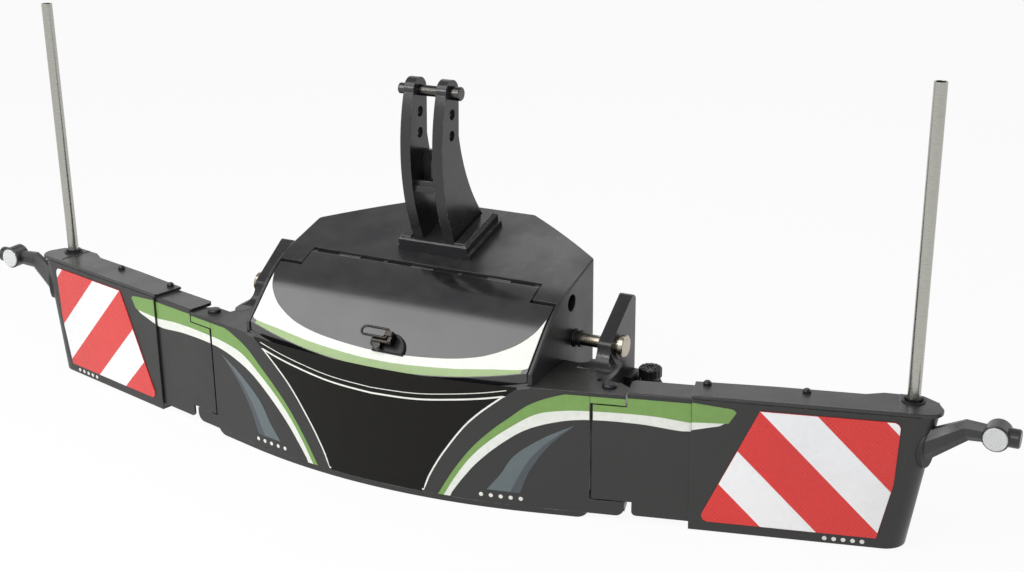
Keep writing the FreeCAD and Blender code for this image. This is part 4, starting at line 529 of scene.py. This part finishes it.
def patch(name, outline, place, material, body, base=0.0, thick=FILM):
    """A flat-sided film with any convex outline."""
    count = len(outline)
    verts = [place(x, z, base + proud) for proud in (thick, FILM_CLEAR) for x, z in outline]
    faces = [tuple(range(count)), tuple(range(2 * count - 1, count - 1, -1))]
    faces += [(i, i + count, (i + 1) % count + count, (i + 1) % count) for i in range(count)]
    return piece(name, verts, faces, material, body)


def disc(x, z, radius, count=20):
    """Places on a circle."""
    turns = [2 * math.pi * i / count for i in range(count)]
    return [(x + radius * math.cos(turn), z + radius * math.sin(turn)) for turn in turns]


def clipped(shape, outline):
    """The part of a convex outline's inside that a convex shape covers."""
    result = list(shape)
    for i in range(len(outline)):
        (ax, az), (bx, bz) = outline[i], outline[(i + 1) % len(outline)]

        def inside(p):
            return (bx - ax) * (p[1] - az) - (bz - az) * (p[0] - ax) >= -1e-6
        kept = []
        for j in range(len(result)):
            p, q = result[j], result[(j + 1) % len(result)]
            if inside(p):
                kept.append(p)
            if inside(p) != inside(q):
                run = (bx - ax) * (q[1] - p[1]) - (bz - az) * (q[0] - p[0])
                t = ((bz - az) * (p[0] - ax) - (bx - ax) * (p[1] - az)) / run
                kept.append((p[0] + t * (q[0] - p[0]), p[1] + t * (q[1] - p[1])))
        result = kept
    return result


# ---------------------------------------------------------------- printed films on the face

# The bands' edges, as distance from the middle and height. Each band starts at the panel's foot, runs round
# the middle field and out along the wing, and stops at the wing's gaps, so that nothing bridges a joint.
PANEL_FOOT_Z = 16.5
green_top = curve([
    (161, 14.5), (188, 62), (217.6, 107.6), (250, 150), (291, 192), (330, 226), (375, 262), (439, 289.5), (503, 302),
    (565, 304), (628, 303), (730, 297.5)])
green_low = curve([
    (176, 17.4), (203, 64), (233.8, 110), (272, 153), (322, 196), (386, 239), (439, 252.8), (503, 258.5),
    (628, 259.5), (711, 252)])
white_low = curve([
    (191, 19.9), (221, 64), (255.1, 107.5), (306, 157), (365.7, 200.7), (439, 228), (503, 238), (608, 238.6),
    (691, 231), (711, 232)])
GREEN_END, WHITE_END = 805.4, 782.0
green_end_top = straight([(713, 301.5), (794.8, 293.8), (801, 291.5), (GREEN_END, 286.6)])
green_end_low = straight([(713, 256), (790.3, 260), (GREEN_END, 286.5)])
white_end_low = straight([(713, 237.5), (772.5, 253), (WHITE_END, 259.5)])
GREEN_START, WHITE_START, WHITE_FOOT_END = 161.5, 176.5, 191.5
PANEL_TOP_LIMIT, INNER_TOP_LIMIT = 293.0, 296.0
TONGUE_LOW, TONGUE_GAP_LOW = 278.3, 275.0
NO_LIMIT = (0.0, 400.0)
BAND_STEP = 5.0
EDGE_GAP = 1.0
STEP_GAP = 0.4


def from_foot(edge, foot_end):
    """A band's lower edge, which is the panel's foot up to where the edge itself rises from it."""
    return lambda x: PANEL_FOOT_Z if x < foot_end else edge(x)


def band(part, low, high, material, span, limits, body, side, proud=0.0):
    """One run of a band, kept between two heights."""
    columns = []
    for x in spread(span[0], span[1], BAND_STEP):
        bottom = max(low(x), limits[0])
        columns.append((x, bottom, max(min(high(x), limits[1]), bottom + THIN_END)))
    return film(f"{part}_{side}", columns, face_point, material, body,
                mirror=side == "left", base=proud)


for side, _ in SIDES:
    wing = "wing_" + side
    runs = (
        ("panel", "weight", (GREEN_START, PANEL_REACH - EDGE_GAP), (PANEL_FOOT_Z, PANEL_TOP_LIMIT)),
        ("tongue", "weight", (PANEL_REACH, TONGUE_REACH), (TONGUE_LOW, PANEL_TOP_LIMIT)),
        ("inner_low", wing, (INNER_PANEL_X, FULL_INNER_X), (PANEL_FOOT_Z, TONGUE_GAP_LOW)),
        ("inner", wing, (FULL_INNER_X, WING_STEP_X - EDGE_GAP), (PANEL_FOOT_Z, INNER_TOP_LIMIT)),
    )
    for where, body, span, limits in runs:
        band("green_band_" + where, from_foot(green_low, WHITE_START), green_top, FILM_GREEN, span, limits,
             body, side)
        if where != "tongue":
            band("white_band_" + where, from_foot(white_low, WHITE_FOOT_END), green_low, FILM_WHITE,
                 (max(span[0], WHITE_START), span[1]), limits, body, side)
    start = WING_STEP_X + STEP_GAP
    band("green_band_outer", green_end_low, green_end_top, FILM_GREEN, (start, GREEN_END), NO_LIMIT, wing,
         side, WING_PROUD)
    band("white_band_outer", white_end_low, green_end_low, FILM_WHITE, (start, WHITE_END), NO_LIMIT, wing,
         side, WING_PROUD)

# Middle field with its double outline. Its places are shares of one unit, the field's scale on the panel.
UNIT = 947.0


def real(*points):
    """Shares of the unit to millimetres."""
    return [(x * UNIT, z * UNIT) for x, z in points]


FIELD_FOOT = 0.136 * UNIT
FIELD_HALF = 0.343 * UNIT
FIELD_REACH = 0.366 * UNIT
FIELD_TOP = 299.5
FIELD_STEP = 6.0
FRAME_INSET, FRAME_WIDE = 2.5, 4.0
SIDE_IN, SIDE_UP = 0.8, 0.5
UPPER_LINE_RISE, UPPER_LINE_WIDE = 11.0, 1.8
field_side = curve(real((.136, .021), (.151, .06), (.191, .13), (.255, .216), (.343, .294), (.372, .3165)))
field_dip = curve(real((0.0, .252), (.12, .2575), (.22, .271), (.29, .283), (.343, .2945)))
field = []
for x in spread(-FIELD_REACH, FIELD_REACH, FIELD_STEP):
    low = PANEL_FOOT_Z if abs(x) <= FIELD_FOOT else max(PANEL_FOOT_Z, field_side(abs(x)))
    field.append((x, low, max(FIELD_TOP, low + THIN_END)))
film("middle_field", field, face_point, FILM_BLACK, "weight")


def field_outline(inset):
    """The field's printed frame, drawn in a little: flat foot, sharp corners, hollow sides, dipped top."""
    half = FIELD_HALF - inset * 2 * SIDE_IN
    foot = FIELD_FOOT - inset * SIDE_IN
    top = [(x, field_dip(abs(x)) - inset) for x in spread(half, -half, FIELD_STEP)]
    sides = [(x, field_side(x + inset * SIDE_IN) + inset * SIDE_UP) for x in spread(foot, half, FIELD_STEP)][:-1]
    return [(-x, z) for x, z in reversed(sides)] + sides + top


def upper_line():
    """The thinner line over the frame's dipped top."""
    return [(x, field_dip(abs(x)) + UPPER_LINE_RISE) for x in spread(-FIELD_HALF, FIELD_HALF, FIELD_STEP)]


ribbon("middle_field_line", field_outline(FRAME_INSET), FRAME_WIDE, face_point, FILM_WHITE, "weight",
       base=FILM)
ribbon("middle_field_upper_line", upper_line(), UPPER_LINE_WIDE, face_point, FILM_WHITE, "weight",
       closed=False, base=FILM)

# Road-like swoosh in two greys, with its edges given as height and distance from the middle. Rows of dots, with
# their start and pitch as shares of the unit.
SWOOSH_LOW, SWOOSH_TOP = 46.4, 220.7
LEAST_WIDE = 0.02
SWOOSH_TONES = (("inner", 0.0, 0.71, FILM_PALE_GREY), ("outer", 0.712, 1.0, FILM_GREY))
swoosh_inner = curve([(SWOOSH_LOW, 277.5), (85.2, 307.8), (137.3, 341.9), (187.5, 407.2), (SWOOSH_TOP, 469.2)])
swoosh_outer = curve([(SWOOSH_LOW, 352.3), (105.1, 375.0), (169.5, 417.6), (SWOOSH_TOP, 469.7)])
DOT_RADIUS, DOTS = 4.8, 5


def by_height(z, x, proud):
    """The face's place for a film that is given row by row."""
    return face_point(x, z, proud)


for side, sign in SIDES:
    for part, a, b, tone in SWOOSH_TONES:
        columns = []
        for z in spread(SWOOSH_LOW, SWOOSH_TOP, BAND_STEP):
            near, wide = swoosh_inner(z), swoosh_outer(z) - swoosh_inner(z)
            columns.append((z, near + wide * a, near + wide * b + LEAST_WIDE))
        film(f"swoosh_{part}_{side}", columns, by_height, tone, "weight", mirror=sign < 0, rows=6)
    for part, body, near, pitch, z, proud in (
        ("panel_dot", "weight", 0.279, 0.02375, 32.5, 0.0),
        ("wing_dot", "wing_" + side, 1.051, 0.02, 15.0, WING_PROUD),
    ):
        for i in range(DOTS):
            patch(f"{part}_{i + 1}_{side}", disc(sign * (near + pitch * i) * UNIT, z, DOT_RADIUS), face_point,
                  FILM_WHITE, body, base=proud)

# ---------------------------------------------------------------- hazard sheeting

BOARD = [(366.0, 27.0), (741.0, 27.0), (768.0, 155.0), (774.0, 295.0), (488.0, 295.0)]
BOARD_CORNER = 14.0
BOARD_ROUND = {0, 3}
SHEET_INSET = 0.6
CORNER_STEPS = 6
STRIPE_REACH = 320.0


def rounded_outline(points, radius, round_at, inset):
    """The board's outline with its rounded corners, drawn in a little."""
    count = len(points)
    result = []
    for i in range(count):
        p, q, r = Vector(points[i - 1]), Vector(points[i]), Vector(points[(i + 1) % count])
        a, b = (p - q).normalized(), (r - q).normalized()
        if i not in round_at:
            result.append(tuple(q))
            continue
        half = math.acos(a.dot(b)) / 2
        start, end = q + a * radius / math.tan(half), q + b * radius / math.tan(half)
        centre = q + (a + b).normalized() * radius / math.sin(half)
        for k in range(CORNER_STEPS + 1):
            way = (start - centre).lerp(end - centre, k / CORNER_STEPS).normalized()
            result.append(tuple(centre + way * radius))
    middle = Vector((sum(p[0] for p in result) / len(result), sum(p[1] for p in result) / len(result)))
    drawn = []
    for p in result:
        v = Vector(p) - middle
        drawn.append(tuple(middle + v * (1.0 - inset / v.length)))
    return drawn


def slanting(low, high):
    """A stripe at 45 degrees between two sums of distance out and height."""
    return [(low, 0.0), (high, 0.0), (high - STRIPE_REACH, STRIPE_REACH), (low - STRIPE_REACH, STRIPE_REACH)]


STRIPES = (("a", slanting(783.5, 901.0)), ("b", slanting(527.0, 644.5)), ("c", slanting(1039.6, 1140.0)))
board_outline = rounded_outline(BOARD, BOARD_CORNER, BOARD_ROUND, SHEET_INSET)
for side, sign in SIDES:
    for part, shape in STRIPES:
        cut = [(sign * wing_x(s), z) for s, z in clipped(shape, board_outline)]
        patch(f"hazard_stripe_{part}_{side}", cut[::sign], face_point, SHEET_WHITE, "wing_" + side,
              base=BOARD_PROUD, thick=SHEET)

# ---------------------------------------------------------------- films on the lid

HOOD_REAR_Y = 260.0
HOOD_REAR_Z = 532.0
HOOD_CREST_Y = -77.0
HOOD_CREST_RADIUS = 300.0
FRONT_SLOPE = math.radians(42.0)
REAR_SLOPE = math.radians(14.5)


def rear_height(y):
    """Height of the hood's rear slope, also where it runs on past the crest."""
    return HOOD_REAR_Z - (HOOD_REAR_Y - y) * math.tan(REAR_SLOPE)


def hood_height(y):
    """Height of the hood at a place front to back: front slope, round crest, rear slope."""
    reach = HOOD_CREST_RADIUS * math.tan((FRONT_SLOPE - REAR_SLOPE) / 2)
    rear_start = HOOD_CREST_Y + reach * math.cos(REAR_SLOPE)
    front_end = HOOD_CREST_Y - reach * math.cos(FRONT_SLOPE)
    if y >= rear_start:
        return rear_height(y)
    if y <= front_end:
        return rear_height(HOOD_CREST_Y) - (HOOD_CREST_Y - y) * math.tan(FRONT_SLOPE)
    centre_y = rear_start + HOOD_CREST_RADIUS * math.sin(REAR_SLOPE)
    centre_z = rear_height(rear_start) - HOOD_CREST_RADIUS * math.cos(REAR_SLOPE)
    return centre_z + math.sqrt(HOOD_CREST_RADIUS ** 2 - (y - centre_y) ** 2)


def lid_point(x, y, proud):
    """A place on the hood or proud of it."""
    slope = hood_height(y + 0.5) - hood_height(y - 0.5)
    size = math.hypot(1.0, slope)
    return (x, y - proud * slope / size, hood_height(y) + proud / size)


LID_EDGE = 362.5
LID_GREEN_HALF = 350.0
LID_SET_BACK, RIM_BARE = 11.0, 1.4
LID_RIM_RADIUS = BOW_RADIUS - LID_SET_BACK - RIM_BARE


def even(points):
    """Points of one half, with their mirror image on the other side of the middle."""
    return [(-x, y) for x, y in points if x > 0] + points


lid_outer = curve(even([(0, -232.4), (66, -231), (186, -222), (280, -210), (350, -201), (366, -195)]))
lid_inner = curve(even([
    (0, -216.4), (151, -208), (243, -192), (302, -169), (330, -151), (352, -128), (362, -105), (366, -93)]))


def lid_rim(x):
    """The film's front edge, just behind the lid's bowed rim."""
    return BOW_CENTRE_Y - math.sqrt(LID_RIM_RADIUS ** 2 - x * x)


film("lid_white_band", [(x, lid_outer(x), lid_inner(x)) for x in spread(-LID_EDGE, LID_EDGE, BAND_STEP)],
     lid_point, FILM_WHITE, "lid", rows=8)
# Its paler green is painted light.
film("lid_green_band",
     [(x, lid_rim(x), lid_outer(x) - THIN_END) for x in spread(-LID_GREEN_HALF, LID_GREEN_HALF, FIELD_STEP)],
     lid_point, FILM_LIT_GREEN, "lid", rows=3)

# ---------------------------------------------------------------- welds, strips and small parts

def block(name, low, high, material, body, slot, place=lambda x, y, z: (x, y, z)):
    """A box between two corners, in the frame of the given place function."""
    (x0, y0, z0), (x1, y1, z1) = low, high
    verts = [place(x, y, z) for z in (z0, z1) for x, y in ((x0, y0), (x1, y0), (x1, y1), (x0, y1))]
    return piece(name, verts, BOX_FACES, material, body)


def flat_plate(name, outline, low, high, material, body):
    """A level plate with the given plan."""
    count = len(outline)
    verts = [(x, y, z) for z in (low, high) for x, y in outline]
    faces = [tuple(range(count - 1, -1, -1)), tuple(range(count, 2 * count))]
    faces += [(i, (i + 1) % count, (i + 1) % count + count, i + count) for i in range(count)]
    return piece(name, verts, faces, material, body)


def tube(name, span, inner, outer, place, material, body, slot, count=40):
    """A ring between two places along its axis; the place function takes that and the two ways across it."""
    verts = []
    for along in span:
        for radius in (inner, outer):
            verts += [place(along, a, b) for a, b in disc(0.0, 0.0, radius, count)]
    faces = []
    for i in range(count):
        j = (i + 1) % count
        faces += [(i, j, count + j, count + i), (2 * count + i, 3 * count + i, 3 * count + j, 2 * count + j),
                  (i, 2 * count + i, 2 * count + j, j),
                  (count + i, count + j, 3 * count + j, 3 * count + i)]
    return piece(name, verts, faces, material, body)


def weld(name, path, leg, material, body, slot, ripple=0.12, step=2.5, sides=8):
    """A rippled weld bead of round section along a run of straight lines."""
    places = []
    for a, b in zip(path, path[1:]):
        a, b = Vector(a), Vector(b)
        count = max(2, int((b - a).length / step))
        places += [a.lerp(b, i / count) for i in range(count)]
    places.append(Vector(path[-1]))
    verts = []
    for i, place in enumerate(places):
        ahead = places[min(i + 1, len(places) - 1)] - places[max(i - 1, 0)]
        ahead.normalize()
        reference = Vector((0.0, 0.0, 1.0)) if abs(ahead.z) < 0.8 else Vector((1.0, 0.0, 0.0))
        u = ahead.cross(reference).normalized()
        v = ahead.cross(u)
        radius = leg * (1.0 + ripple * (1.0 if i % 2 else -1.0))
        if i in (0, len(places) - 1):
            radius *= 0.5
        verts += [tuple(place + u * a + v * b) for a, b in disc(0.0, 0.0, radius, sides)]
    faces = [tuple(range(sides)), tuple(len(verts) - 1 - k for k in range(sides))]
    for i in range(len(places) - 1):
        for k in range(sides):
            a, b = i * sides + k, i * sides + (k + 1) % sides
            faces.append((a, b, b + sides, a + sides))
    return piece(name, verts, faces, material, body, angle=BEAD_ANGLE)


# Plate behind the mast's window, and a pad in front of it
block("mast_window_plate", (-14.2, 50.0, 661.0), (14.2, 58.0, 710.0), FINISH["mast_paint"], "weight", "mast_paint")
block("mast_window_pad", (3.0, 27.0, 648.0), (27.0, 47.5, 704.0), FINISH["mast_paint"], "weight", "mast_paint")

# Raised ribs on top of the lamp socket's cap
CAP_X, CAP_Y, CAP_TOP = 526.0, 103.0, 258.0
CAP_RIBS = 12
CAP_RIB_LOW, CAP_RIB_HIGH = (9.0, -1.6, CAP_TOP - 0.4), (23.5, 1.6, CAP_TOP + 1.4)
for i in range(CAP_RIBS):
    turn = 2 * math.pi * (i + 0.5) / CAP_RIBS

    def on_cap(far, wide, z):
        return (
            CAP_X + far * math.cos(turn) - wide * math.sin(turn),
            CAP_Y + far * math.sin(turn) + wide * math.cos(turn), z,
        )
    block(f"cap_rib_{i + 1}", CAP_RIB_LOW, CAP_RIB_HIGH, FINISH["cap_plastic"], "cap", "cap_plastic", on_cap)

# Skirt under the panel's lower edge, with rounded ends
SKIRT_HALF, SKIRT_FLAT_HALF, SKIRT_CORNER = 499.0, 475.0, 30.0
SKIRT_LOW, SKIRT_TOP, SKIRT_THICK = 2.0, 15.0, 4.0
skirt = []
for x in spread(-SKIRT_HALF, SKIRT_HALF, FIELD_STEP):
    past = max(0.0, abs(x) - SKIRT_FLAT_HALF)
    skirt.append((x, SKIRT_LOW + SKIRT_CORNER - math.sqrt(SKIRT_CORNER ** 2 - past ** 2), SKIRT_TOP))
film("panel_skirt", skirt, face_point, FINISH["panel_paint"], "weight", base=-SKIRT_THICK,
     thick=SKIRT_THICK)

# Near-black strip in the wing's gap, in the wing's frame, as painted shade that darkens the gap
GAP_SHADE_STRIP = (125.05, 9.0, 50.0), (126.3, 60.0, 274.0)

# Plate that fills the shoulder below the ear's foot
SHOULDER_FILL = [
    (434.0, -22.0), (434.0, -34.0), (476.0, -108.0), (488.0, -104.0), (498.0, -88.0), (501.4, -64.0), (501.4, -22.0)]
SHOULDER_FILL_LOW, SHOULDER_FILL_TOP = 290.0, 302.3

# Rings round the lower pin, as name, reach across, inner and outer radius, and the bead round its boss
PIN_Y, PIN_Z = 18.0, 335.0
PIN_RINGS = (
    ("boss_sleeve", (382.2, 394.0), 14.6, 16.5), ("boss_ring", (388.0, 394.0), 16.4, 19.5),
    ("pin_collar_dark", (481.8, 488.0), 14.5, 15.6),
)
BOSS_WELD_X, BOSS_WELD_RADIUS, BOSS_WELD_LEG = 377.0, 20.0, 2.2

# Grommet at the marker pole's foot, with the pole's place in the wing's frame
POLE_S, POLE_D = 797.0, 66.0
GROMMET_SPAN, GROMMET_BORE, GROMMET_RADIUS = (314.6, 318.6), 19.4, 24.5

for side, sign in SIDES:
    dark = (FINISH["black_steel"], "weight", "black_steel")
    # Painted shade: a near-black strip over the face in the wing's gap.
    block(f"shade_strip_{side}", *GAP_SHADE_STRIP, GAP_SHADE_FILL, "weight", "black_steel",
          lambda s, d, z: wing_place(sign, s, d, z))
    flat_plate(f"shoulder_fill_{side}", [(sign * x, y) for x, y in SHOULDER_FILL], SHOULDER_FILL_LOW,
               SHOULDER_FILL_TOP, FINISH["bracket_paint"], "weight")
    for part, span, bore, radius in PIN_RINGS:
        tube(f"{part}_{side}", span, bore, radius, lambda x, a, b: (sign * x, PIN_Y + a, PIN_Z + b), *dark)
    ring = disc(PIN_Y, PIN_Z, BOSS_WELD_RADIUS, 24)
    weld(f"boss_weld_{side}", [(sign * BOSS_WELD_X, y, z) for y, z in ring + ring[:1]], BOSS_WELD_LEG, *dark)
    pole_x, pole_y, _ = wing_place(sign, POLE_S, POLE_D, 0.0)
    tube(f"pole_grommet_{side}", GROMMET_SPAN, GROMMET_BORE, GROMMET_RADIUS,
         lambda z, a, b: (pole_x + a, pole_y + b, z), FINISH["boot_rubber"], "wing_" + side, "boot_rubber")

# ---------------------------------------------------------------- stage, lamps and camera

# Round floor of paper that curves up at its far rim, as radius and height
FLOOR_RINGS = (
    (6.0, 0.0), (14.0, 0.0), (22.0, 0.0), (26.0, 0.8), (28.5, 4.0), (30.0, 9.0), (30.5, 16.0),
)
FLOOR_COUNT = 96
FLOOR_GLOW = 0.93


def floor_paper():
    """White paper that shows as bright to the camera and in reflections, and still takes the part's shadow."""
    material = bpy.data.materials.new("floor_paper")
    material.use_nodes = True
    tree = material.node_tree
    tree.nodes.clear()

    def add(kind, *sources, **values):
        node = tree.nodes.new("ShaderNode" + kind)
        for key, value in values.items():
            node.inputs[key].default_value = value
        for i, source in enumerate(sources):
            tree.links.new(source, node.inputs[i])
        return node

    def calculate(operation, a, b):
        node = tree.nodes.new("ShaderNodeMath")
        node.operation = operation
        tree.links.new(a, node.inputs[0])
        if isinstance(b, float):
            node.inputs[1].default_value = b
        else:
            tree.links.new(b, node.inputs[1])
        return node.outputs[0]
    tooth = add("TexNoise", add("TexCoord").outputs["Object"], Scale=90.0)
    bump = add("Bump", Strength=0.05, Distance=0.001)
    tree.links.new(tooth.outputs["Fac"], bump.inputs["Height"])
    paper = add("BsdfDiffuse", Color=(0.86, 0.86, 0.86, 1.0))
    tree.links.new(bump.outputs[0], paper.inputs["Normal"])
    glow = add("Emission", Color=(1.0, 1.0, 1.0, 1.0), Strength=1.0)
    path = add("LightPath").outputs
    seen = calculate("MAXIMUM", path["Is Camera Ray"], path["Is Glossy Ray"])
    seen = calculate("MAXIMUM", seen, path["Is Transmission Ray"])
    mix = add("MixShader", calculate("MULTIPLY", seen, FLOOR_GLOW), paper.outputs[0], glow.outputs[0])
    below = add("MixShader", add("NewGeometry").outputs["Backfacing"], mix.outputs[0],
                add("BsdfTransparent").outputs[0])
    out = add("OutputMaterial")
    tree.links.new(below.outputs[0], out.inputs["Surface"])
    return material


def make_floor():
    """The stage's floor, with its face up."""
    mesh = bpy.data.meshes.new("floor")
    verts = [(0.0, 0.0, 0.0)]
    for far, high in FLOOR_RINGS:
        verts += [(x, y, high) for x, y in disc(0.0, 0.0, far, FLOOR_COUNT)]
    following = [(i, (i + 1) % FLOOR_COUNT) for i in range(FLOOR_COUNT)]
    faces = [(0, 1 + i, 1 + j) for i, j in following]
    for ring in range(len(FLOOR_RINGS) - 1):
        a = 1 + ring * FLOOR_COUNT
        b = a + FLOOR_COUNT
        faces += [(a + i, b + i, b + j, a + j) for i, j in following]
    mesh.from_pydata(verts, [], faces)
    mesh.shade_smooth()
    floor = bpy.data.objects.new("floor", mesh)
    bpy.context.scene.collection.objects.link(floor)
    floor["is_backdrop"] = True
    mesh.materials.append(floor_paper())


def lamp(name, place, target, wide, high, radiance):
    """A softbox of even brightness that faces its target."""
    data = bpy.data.lights.new(name, "AREA")
    data.shape = "RECTANGLE"
    data.size, data.size_y = wide, high
    data.energy = radiance * math.pi * wide * high
    made = bpy.data.objects.new(name, data)
    made.location = place
    made.rotation_euler = (Vector(target) - Vector(place)).to_track_quat("-Z", "Y").to_euler()
    bpy.context.scene.collection.objects.link(made)


make_floor()

# Each lamp's place, target, size and radiance
lamp("overhead", (-1.3, -1.7, 3.3), (-1.3, -1.699, 0.0), 3.8, 1.8, 3.0)
lamp("front_strip", (-0.3, -2.45, 2.1), (0.0, -0.1, 0.35), 3.2, 0.3, 15.0)
lamp("left_side", (-3.3, -1.4, 1.5), (-0.4, 0.0, 0.3), 1.4, 1.4, 1.3)
lamp("rear_top", (-0.7, 2.6, 3.2), (0.2, 0.1, 0.5), 2.0, 1.2, 1.8)
lamp("right_rear", (3.4, 2.4, 2.4), (0.2, 0.0, 0.4), 1.4, 1.4, 1.6)

# Soft light from all round, a little cool
world = bpy.data.worlds.new("world")
bpy.context.scene.world = world
world.use_nodes = True
around = world.node_tree.nodes["Background"].inputs
around["Color"].default_value = (0.97, 0.985, 1.0, 1.0)
around["Strength"].default_value = 0.38

bpy.context.scene.view_settings.view_transform = "Standard"

# Camera, as matched to the photograph
EYE = Vector((1.7356, -2.9279, 1.6144))
LENS = 53.95
AZIMUTH, ELEVATION, ROLL = (math.radians(a) for a in (27.306, 19.591, -0.522))
level = math.cos(ELEVATION)
back = Vector((math.sin(AZIMUTH) * level, -math.cos(AZIMUTH) * level, math.sin(ELEVATION)))
right = Vector((math.cos(AZIMUTH), math.sin(AZIMUTH), 0.0))
up = right.cross(-back)
right_rolled = math.cos(ROLL) * right + math.sin(ROLL) * up
up_rolled = -math.sin(ROLL) * right + math.cos(ROLL) * up
camera_data = bpy.data.cameras.new("camera")
camera_data.sensor_width = 36.0
camera_data.sensor_fit = "HORIZONTAL"
camera_data.lens = LENS
camera = bpy.data.objects.new("camera", camera_data)
turn = Matrix((right_rolled, up_rolled, back)).transposed()
camera.matrix_world = Matrix.Translation(EYE) @ turn.to_4x4()
bpy.context.scene.collection.objects.link(camera)
bpy.context.scene.camera = camera

low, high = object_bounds()
